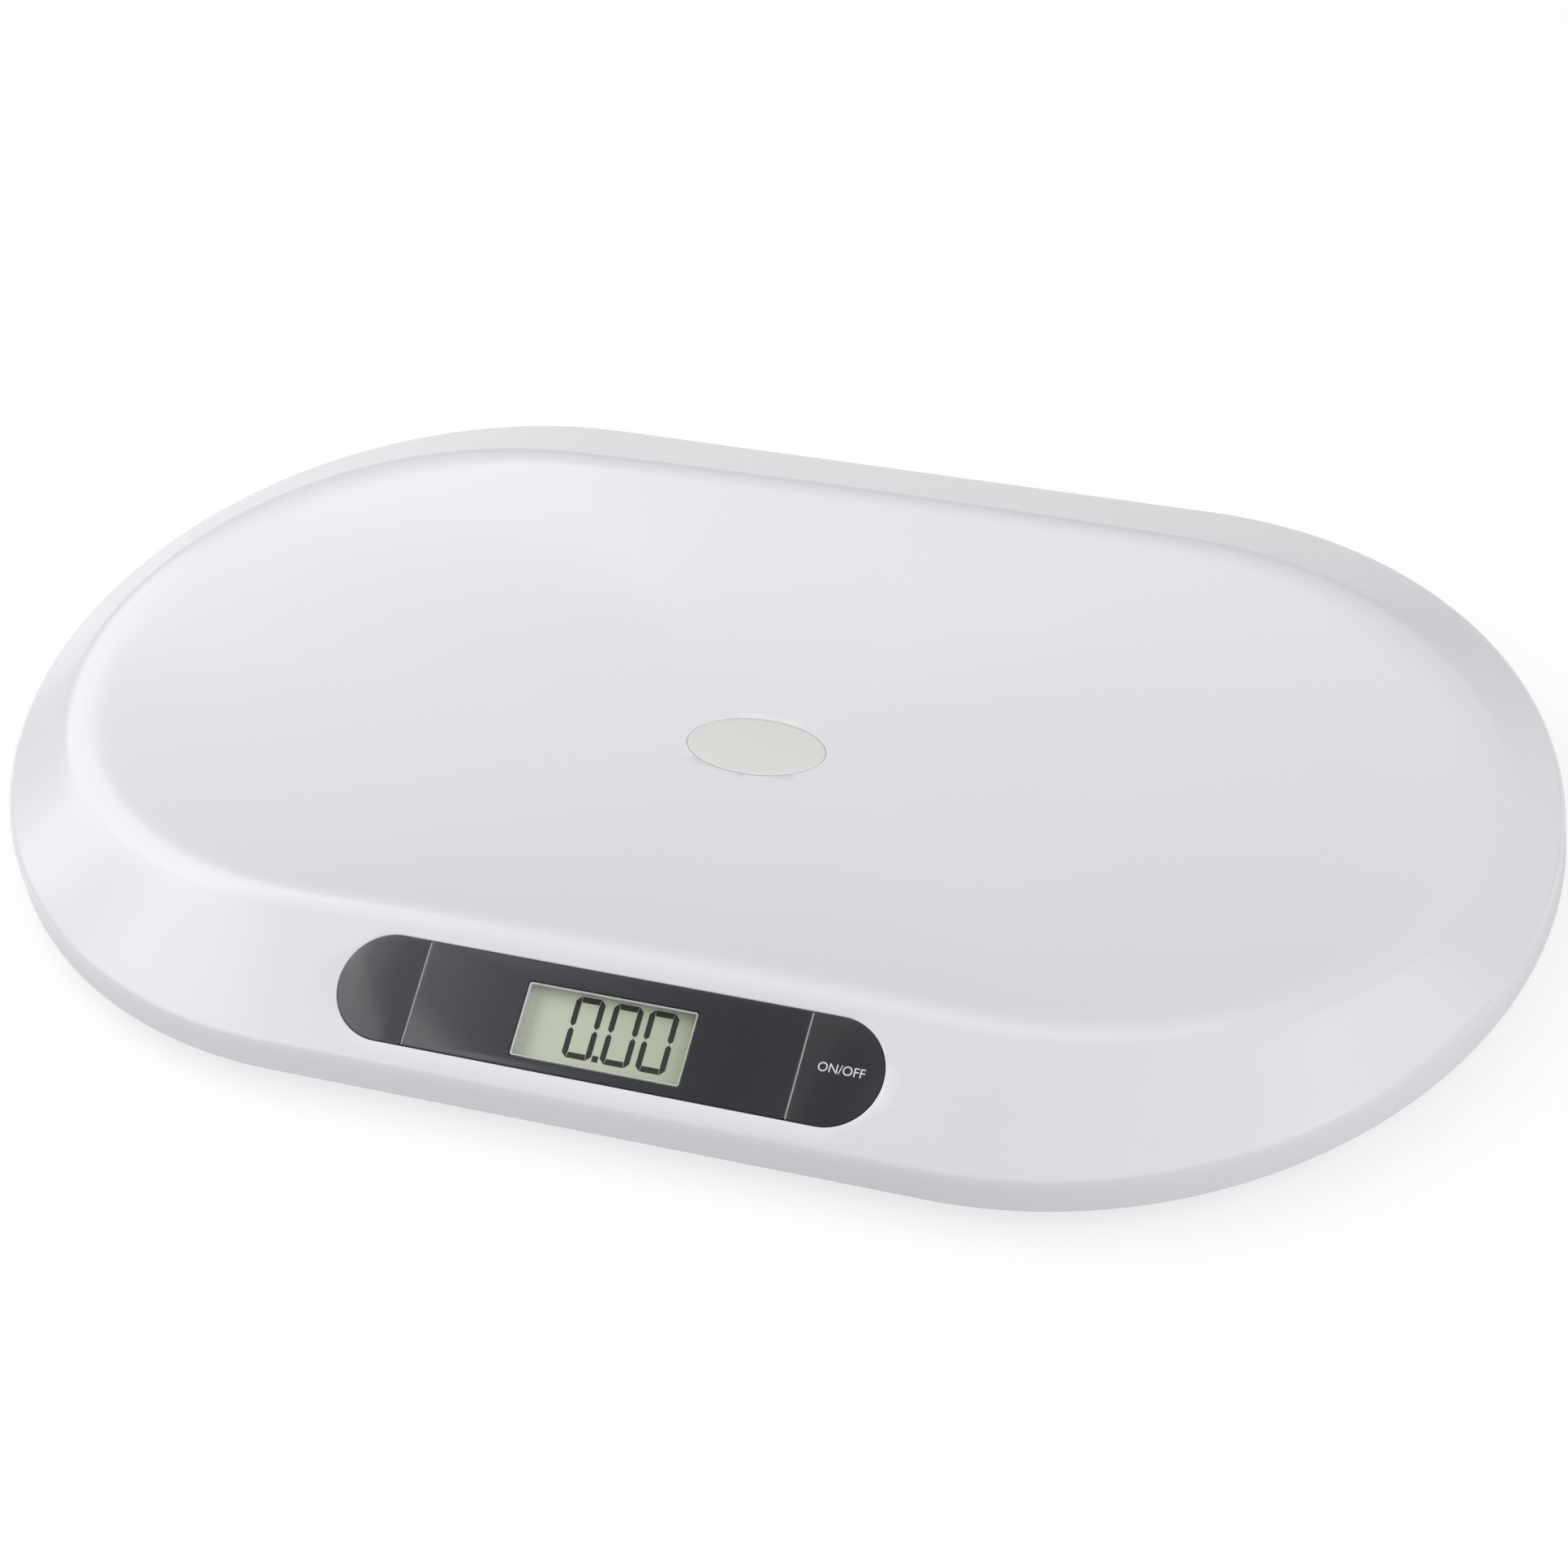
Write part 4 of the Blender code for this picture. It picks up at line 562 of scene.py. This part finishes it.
def weld(made):
    """Joins the points that lie on each other and turns the faces outwards."""
    shape = bmesh.new()
    shape.from_mesh(made.data)
    bmesh.ops.remove_doubles(shape, verts=shape.verts, dist=1e-6)
    bmesh.ops.recalc_face_normals(shape, faces=shape.faces)
    shape.to_mesh(made.data)
    shape.free()


def applied(made):
    """The object's shape with its modifiers, as a new plain mesh."""
    bpy.context.view_layer.update()
    seen = made.evaluated_get(bpy.context.evaluated_depsgraph_get())
    return bpy.data.meshes.new_from_object(seen)


def carve(target, meshes, how="DIFFERENCE"):
    """Cuts closed meshes out of an object, one after another, and leaves a plain mesh."""
    tools = []
    for mesh in meshes:
        tool = link("tool", mesh)
        tools.append(tool)
        step = target.modifiers.new("cut", "BOOLEAN")
        step.operation = how
        step.object = tool
    mesh = applied(target)
    target.modifiers.clear()
    old = target.data
    target.data = mesh
    bpy.data.meshes.remove(old)
    for tool in tools:
        bpy.data.objects.remove(tool, do_unlink=True)


def panel_outline(margin):
    """The panel's opening in the deck."""
    return stadium(PANEL_HALF + GAP + margin, PANEL_RADIUS + GAP + margin)


def badge_outline(margin):
    """The inlay's outline."""
    half_x, half_y, shift = BADGE
    return ellipse(half_x + margin, half_y + margin, shift)


def window_outline(margin):
    """The window's outline."""
    half_x, half_y, corner, shift = WINDOW
    return rounded(half_x + margin, half_y + margin, corner + margin / 2, shift)


def pocket_outline(margin):
    """The outline of the lens's pocket."""
    half_x, half_y, corner, shift = WINDOW
    return rounded(half_x + margin, half_y + margin, corner, shift)


def raised(levels):
    """Levels measured from the middle of the dish."""
    return [(margin, RIM_Z + DISH_FLOOR_RISE + height) for margin, height in levels]


def tray():
    """The tray: one fine glossy surface with a wall, the panel's opening and the inlay's seat."""
    rings, middle = tray_rings()
    made = link("tray_visual", loft("tray_visual", rings, tip=middle))
    wall = made.modifiers.new("wall", "SOLIDIFY")
    wall.thickness = WALL
    wall.offset = -1.0
    wall.use_even_offset = True
    opening = loft("opening", stack(panel_outline, OPENING_EDGE), True, True)
    opening.transform(PANEL)
    seat = loft("seat", stack(badge_outline, raised(SEAT_EDGE)), True, True)
    carve(made, [opening, seat])
    shade(made, 40.0)
    dress(made, TRAY, replaced=("tray_shell",))


def badge():
    """The bare oval inlay, slightly crowned."""
    levels = list(BADGE_EDGE)
    start_margin, start_height = BADGE_EDGE[-1]
    for k in range(1, BADGE_CROWN_STEPS + 1):
        share = k / BADGE_CROWN_STEPS
        levels.append((start_margin - BADGE_CROWN_RUN * share,
                       start_height + BADGE_CROWN_RISE * math.sin(share * math.pi / 2)))
    mesh = loft("badge_visual", stack(badge_outline, raised(levels)), True, True)
    made = link("badge_visual", mesh)
    shade(made)
    dress(made, BADGE_FINISH, replaced=("badge_plate",))


def plate_levels():
    """Margins and heights of the panel's plates, which have a rounded upper edge."""
    levels = [(0.0, -PANEL_THICKNESS)]
    for i in range(4):
        a = math.pi / 2 * i / 3
        levels.append((-PANEL_EDGE * (1 - math.cos(a)), -PANEL_EDGE * (1 - math.sin(a))))
    return levels


def fascia():
    """The dark middle of the panel, with its bevelled window and the lens's pocket behind it."""
    def outline(margin):
        return rounded(FASCIA_HALF + margin, PANEL_RADIUS + margin, PANEL_CORNER + margin / 2)
    made = link("fascia_visual", loft("fascia_visual", stack(outline, plate_levels()), True, True))
    hole = loft("hole", stack(window_outline, WINDOW_EDGE), True, True)
    pocket = loft("pocket", stack(pocket_outline, LENS_POCKET), True, True)
    carve(made, [hole, pocket])
    made.data.transform(PANEL)
    shade(made)
    dress(made, PAINTED_SHEEN_ACRYLIC, replaced=("fascia_panel",))


def key_outline(side, margin):
    """The end of the panel's slot shape, cut square where it meets the fascia."""
    radius = PANEL_RADIUS + margin
    inner = SPLIT_END - margin
    corner = PANEL_CORNER
    points = []
    for i in range(KEY_STEPS + 1):
        a = math.pi * (i / KEY_STEPS - 0.5)
        points.append((SWITCH_PLACE + radius * math.cos(a), radius * math.sin(a)))
    for quarter, sy in ((1, 1), (2, -1)):
        for i in range(6):
            a = math.pi / 2 * (quarter + i / 5)
            points.append((inner + corner + corner * math.cos(a),
                           sy * (radius - corner) + corner * math.sin(a)))
    return [(side * x, side * y) for x, y in points]


def key(name, side):
    """One key, with its post."""
    def post_outline(_):
        return [(side * SWITCH_PLACE + x, y) for x, y in stadium(*POST_HALF, POST_STEPS)]
    mesh = loft(name + "_key", stack(lambda margin: key_outline(side, margin), plate_levels()), True, True)
    made = link(name + "_key", mesh)
    levels = ((0, POST_BOTTOM), (0, -PANEL_THICKNESS + POST_SUNK))
    post = loft("post", stack(post_outline, levels), True, True)
    carve(made, [post], "UNION")
    made.data.transform(PANEL)
    shade(made)
    dress(made, PAINTED_SHEEN_ACRYLIC, name + "_button", (name + "_button",))


def bead(name, start, end, radius, finish):
    """A fine round bead between two points of the panel."""
    curve = bpy.data.curves.new(name, "CURVE")
    curve.dimensions = "3D"
    curve.bevel_depth = radius
    curve.bevel_resolution = 1
    curve.use_fill_caps = True
    spline = curve.splines.new("POLY")
    spline.points.add(1)
    for target, point in zip(spline.points, (start, end)):
        target.co = (*(PANEL @ Vector(point)), 1.0)
    made = link(name, meshed(name, curve))
    shade(made, 80.0)
    dress(made, finish)


def meshed(name, curve):
    """The mesh of a curve or of a line of text."""
    made = link(name, curve)
    mesh = applied(made)
    bpy.data.objects.remove(made, do_unlink=True)
    return mesh


def window_edge_painted_highlight():
    """A light grey lining of the window's edge, bevelled inwards; its light grey paints the bright highlight
    along the window's left and top edges.
    """
    rings = stack(window_outline, LINING)
    made = link("window_edge_painted_highlight", loft("window_edge_painted_highlight", rings + [rings[0]]))
    made.data.transform(PANEL)
    weld(made)
    shade(made, 25.0)
    dress(made, PAINTED_HIGHLIGHT_GREY)


def separators():
    """The light lines between the keys and the fascia."""
    reach = PANEL_RADIUS - SEPARATOR_INSET
    for name, side in (("left", -1), ("right", 1)):
        x = side * (FASCIA_HALF + SPLIT_END) / 2
        bead("separator_" + name, (x, -reach, -SEPARATOR_DEPTH), (x, reach, -SEPARATOR_DEPTH),
             SEPARATOR_RADIUS, BRIGHT)


def inked(name, shapes, depth, finish):
    """Flat printed shapes on one level of the panel."""
    shape = bmesh.new()
    for outline in shapes:
        low = [shape.verts.new((x, y, depth + INK_LIFT)) for x, y in outline]
        high = [shape.verts.new((x, y, depth + INK_LIFT + INK_THICKNESS)) for x, y in outline]
        count = len(outline)
        shape.faces.new(list(reversed(low)))
        shape.faces.new(high)
        for i in range(count):
            shape.faces.new((low[i], low[(i + 1) % count], high[(i + 1) % count], high[i]))
    mesh = bpy.data.meshes.new(name)
    bmesh.ops.recalc_face_normals(shape, faces=shape.faces)
    shape.to_mesh(mesh)
    shape.free()
    mesh.transform(PANEL)
    dress(link(name, mesh), finish)


def zero_segments(x, y):
    """The six lit segments of a nought: its outer corners are cut, and thin breaks part the segments."""
    half_x, half_y = DIGIT_HALF
    outer, inner = half_x - DIGIT_CORNER - SEGMENT_SPLIT, half_x - STROKE - SEGMENT_SPLIT
    bar_turns = [(-outer, half_y), (outer, half_y), (inner, half_y - STROKE), (-inner, half_y - STROKE)]
    post_turns = [(half_x, SEGMENT_SPLIT + STROKE / 2), (half_x, half_y - DIGIT_CORNER),
                  (half_x - DIGIT_CORNER, half_y), (half_x - STROKE, half_y - STROKE),
                  (half_x - STROKE, SEGMENT_SPLIT + STROKE / 2), (half_x - STROKE / 2, SEGMENT_SPLIT)]
    shapes = [[(x + px, y + sy * py) for px, py in bar_turns] for sy in (-1, 1)]
    for sx in (-1, 1):
        for sy in (-1, 1):
            shapes.append([(x + sx * px, y + sy * py) for px, py in post_turns])
    return shapes


def display():
    """The lit segments on the liquid crystal glass."""
    shapes = []
    for x in DIGITS_X:
        shapes += zero_segments(x + SEEN_SHIFT[0], DIGITS_Y + SEEN_SHIFT[1])
    dot_x, dot_y, half = DOT[0] + SEEN_SHIFT[0], DOT[1] + SEEN_SHIFT[1], DOT[2]
    shapes.append([(dot_x + sx * half, dot_y + sy * half) for sx, sy in SQUARE])
    inked("lcd_segments", shapes, LCD_FACE, SEGMENT)


def switch_words():
    """ON/OFF in print on the power key, sized to a width and centred on a point of the panel."""
    x, y, width = SWITCH_WORDS
    name = "words_power"
    curve = bpy.data.curves.new(name, "FONT")
    curve.body = "ON/OFF"
    curve.align_x = "CENTER"
    curve.align_y = "CENTER"
    curve.size = 0.01
    curve.extrude = INK_THICKNESS / 2
    curve.resolution_u = 4
    mesh = meshed(name, curve)
    xs = [v.co.x for v in mesh.vertices]
    ys = [v.co.y for v in mesh.vertices]
    by = width / (max(xs) - min(xs))
    centre = Matrix.Translation((-(max(xs) + min(xs)) / 2, -(max(ys) + min(ys)) / 2, 0))
    place = Matrix.Translation((x, y, INK_LIFT + INK_THICKNESS / 2))
    mesh.transform(PANEL @ place @ Matrix.Diagonal((by, by, 1, 1)) @ centre)
    dress(link(name, mesh), WORDS, "power_button")


def recut(node_name, finish, tools):
    """A finer copy of a CAD node with shapes cut out of it, in the node's place."""
    node = NODES[node_name]
    mesh = node.data.copy()
    mesh.transform(node.matrix_world)
    made = link(node_name + "_fine", mesh)
    weld(made)
    carve(made, tools)
    shade(made)
    dress(made, finish, replaced=(node_name,))


def middle_of(node_name):
    """The middle of a CAD node's box and its lowest height."""
    node = NODES[node_name]
    points = [node.matrix_world @ vertex.co for vertex in node.data.vertices]
    xs, ys, zs = zip(*points)
    return (min(xs) + max(xs)) / 2, (min(ys) + max(ys)) / 2, min(zs)


def bar(x, y, low, high, half_x, half_y, turn):
    """A closed upright bar, turned about its middle."""
    corners = [Vector((sx * half_x, sy * half_y, 0)) for sx, sy in SQUARE]
    corners = [Matrix.Rotation(turn, 3, "Z") @ corner for corner in corners]
    rings = [[Vector((x + c.x, y + c.y, height)) for c in corners] for height in (low, high)]
    return loft("bar", rings, True, True)


def screw_heads():
    """Cross recesses in the six screws that show underneath."""
    for i in range(1, 7):
        name = f"housing_screw_{i}"
        x, y, low = middle_of(name)
        turns = [i * RECESS_TURN + k * math.pi / 2 for k in range(2)]
        bars = [bar(x, y, low - OVERRUN, low + RECESS_DEPTH, *RECESS_HALF, turn) for turn in turns]
        recut(name, STEEL, bars)


def groove(x, y, low, radius):
    """The closed shape of one round groove in a pad's lower face."""
    levels = ((0.0, low - OVERRUN), (GROOVE_WIDTH, low - OVERRUN),
              (GROOVE_WIDTH - GROOVE_DRAFT, low + GROOVE_DEPTH), (GROOVE_DRAFT, low + GROOVE_DEPTH))
    rings = []
    for margin, height in levels:
        outline = ellipse(radius + margin, radius + margin, 0.0, 48)
        rings.append([Vector((x + px, y + py, height)) for px, py in outline])
    tool = link("groove", loft("groove", rings + [rings[0]]))
    weld(tool)
    mesh = tool.data
    bpy.data.objects.remove(tool, do_unlink=True)
    return mesh


def foot_pads():
    """Grip grooves in the rubber pads."""
    for corner in ("front_left", "front_right", "rear_left", "rear_right"):
        name = "foot_pad_" + corner
        x, y, low = middle_of(name)
        recut(name, RUBBER, [groove(x, y, low, radius) for radius in GROOVE_RADII])


def dress_nodes():
    """Gives every carried-over node its finish."""
    finishes = {"base_cover": SHELL, "battery_door": SHELL, "panel_carrier": SHELL, "display_window": LENS,
                "lcd_glass": CRYSTAL, "lcd_holder": BLACK, "zebra_strip": RUBBER, "main_board": BOARD,
                "controller_chip": BLACK, "crystal_can": STEEL, "unit_switch_body": BLACK,
                "power_switch_body": BLACK, "unit_switch_plunger": RUBBER, "power_switch_plunger": RUBBER,
                "cell_lead": sleeve("lead_grey_sleeve", (0.30, 0.30, 0.31)),
                "battery_lead_red": sleeve("lead_red_sleeve", (0.50, 0.02, 0.02)),
                "battery_lead_black": sleeve("lead_black_sleeve", (0.02, 0.02, 0.02)),
                "foot_cup": SHELL, "foot_pad": RUBBER, "load_cell_bracket": BLACK, "load_cell": STEEL,
                "strain_gauge": EPOXY, "housing_screw": STEEL, "battery_contact": NICKEL, "battery": BATTERY}
    for name, node in NODES.items():
        starts = [start for start in finishes if name.startswith(start)]
        if not starts:
            continue
        finish = finishes[max(starts, key=len)]
        node.data.materials.clear()
        node.data.materials.append(finish)


# Floor, light and camera


def floor():
    """A plain pale floor, nearly white to the camera, that keeps the shadow."""
    shape = bmesh.new()
    bmesh.ops.create_grid(shape, x_segments=1, y_segments=1, size=6.0)
    mesh = bpy.data.meshes.new("floor")
    shape.to_mesh(mesh)
    shape.free()
    made = link("floor", mesh)
    material = bpy.data.materials.new("floor_white")
    material.use_nodes = True
    tree = material.node_tree
    plain = tree.nodes["Principled BSDF"]
    plain.inputs["Base Color"].default_value = (0.90, 0.90, 0.91, 1.0)
    plain.inputs["Roughness"].default_value = 0.9
    plain.inputs["Specular IOR Level"].default_value = 0.2
    glow = tree.nodes.new("ShaderNodeEmission")
    glow.inputs["Color"].default_value = (1.0, 1.0, 1.0, 1.0)
    glow.inputs["Strength"].default_value = FLOOR_GLOW
    seen = tree.nodes.new("ShaderNodeLightPath")
    share = tree.nodes.new("ShaderNodeMath")
    share.operation = "MULTIPLY"
    share.inputs[1].default_value = 1.0 - FLOOR_SHADOW
    tree.links.new(seen.outputs["Is Camera Ray"], share.inputs[0])
    mixed = tree.nodes.new("ShaderNodeMixShader")
    tree.links.new(share.outputs["Value"], mixed.inputs["Fac"])
    tree.links.new(plain.outputs["BSDF"], mixed.inputs[1])
    tree.links.new(glow.outputs["Emission"], mixed.inputs[2])
    tree.links.new(mixed.outputs["Shader"], tree.nodes["Material Output"].inputs["Surface"])
    mesh.materials.append(material)


def direction(azimuth, elevation):
    """A unit vector from the scale: azimuth 0 is in front of it and 90 to its right."""
    a, e = math.radians(azimuth), math.radians(elevation)
    return Vector((math.sin(a) * math.cos(e), -math.cos(a) * math.cos(e), math.sin(e)))


def sky_glow(tree, way, sharpness, strength):
    """The light of one broad soft source of the studio, as a number for each direction."""
    turned = tree.nodes.new("ShaderNodeVectorMath")
    turned.operation = "DOT_PRODUCT"
    turned.inputs[1].default_value = way
    place = tree.nodes.new("ShaderNodeTexCoord")
    tree.links.new(place.outputs["Generated"], turned.inputs[0])
    value = turned.outputs["Value"]
    for operation, amount in (("MAXIMUM", 0.0), ("POWER", sharpness), ("MULTIPLY", strength)):
        step = tree.nodes.new("ShaderNodeMath")
        step.operation = operation
        step.inputs[1].default_value = amount
        tree.links.new(value, step.inputs[0])
        value = step.outputs["Value"]
    return value


def world():
    """Broad soft sources round the scale. The camera itself sees plain white."""
    sky = bpy.data.worlds.new("studio")
    sky.use_nodes = True
    tree = sky.node_tree
    back = tree.nodes["Background"]
    back.inputs["Color"].default_value = SKY_COLOUR
    total = None
    for azimuth, elevation, sharpness, strength in SKY:
        glow = sky_glow(tree, direction(azimuth, elevation), sharpness, strength)
        if total is not None:
            step = tree.nodes.new("ShaderNodeMath")
            step.operation = "ADD"
            tree.links.new(total, step.inputs[0])
            tree.links.new(glow, step.inputs[1])
            glow = step.outputs["Value"]
        total = glow
    tree.links.new(total, back.inputs["Strength"])
    white = tree.nodes.new("ShaderNodeBackground")
    white.inputs["Color"].default_value = (1.0, 1.0, 1.0, 1.0)
    white.inputs["Strength"].default_value = 0.99
    rays = tree.nodes.new("ShaderNodeLightPath")
    mixed = tree.nodes.new("ShaderNodeMixShader")
    tree.links.new(rays.outputs["Is Camera Ray"], mixed.inputs["Fac"])
    tree.links.new(back.outputs["Background"], mixed.inputs[1])
    tree.links.new(white.outputs["Background"], mixed.inputs[2])
    tree.links.new(mixed.outputs["Shader"], tree.nodes["World Output"].inputs["Surface"])
    bpy.context.scene.world = sky


def lights():
    """Large soft lamps near the scale."""
    for name, azimuth, elevation, power in LAMPS:
        lamp = bpy.data.lights.new(name, "AREA")
        lamp.shape = "SQUARE"
        lamp.size = LAMP_SIZE
        lamp.energy = power
        made = bpy.data.objects.new(name, lamp)
        bpy.context.scene.collection.objects.link(made)
        way = direction(azimuth, elevation)
        made.location = way * LAMP_DISTANCE
        made.rotation_euler = way.to_track_quat("Z", "Y").to_euler()


def camera():
    """The camera solved from the photo."""
    back = Vector((math.sin(AZIMUTH) * math.cos(ELEVATION), -math.cos(AZIMUTH) * math.cos(ELEVATION),
                   math.sin(ELEVATION)))
    right = (-back).cross(Vector((0, 0, 1))).normalized()
    up = right.cross(-back)
    turned_right = right * math.cos(ROLL) + up * math.sin(ROLL)
    turned_up = up * math.cos(ROLL) - right * math.sin(ROLL)
    lens = bpy.data.cameras.new("photo_camera")
    lens.sensor_width = 36.0
    lens.lens = FOCAL_PIXELS / PHOTO_SIDE * 36.0
    lens.shift_x = (PHOTO_SIDE / 2 - CENTRE_PIXEL[0]) / PHOTO_SIDE
    lens.shift_y = (CENTRE_PIXEL[1] - PHOTO_SIDE / 2) / PHOTO_SIDE
    lens.clip_start = 0.01
    made = bpy.data.objects.new("photo_camera", lens)
    bpy.context.scene.collection.objects.link(made)
    turn = Matrix((turned_right, turned_up, back)).transposed().to_4x4()
    made.matrix_world = Matrix.Translation(Vector((0, 0, RIM_Z)) + back * DISTANCE) @ turn
    bpy.context.scene.camera = made


tray()
badge()
fascia()
key("unit", -1)
key("power", 1)
window_edge_painted_highlight()
separators()
display()
switch_words()
screw_heads()
foot_pads()
dress_nodes()
floor()
world()
lights()
camera()
bpy.context.scene.view_settings.view_transform = "Standard"
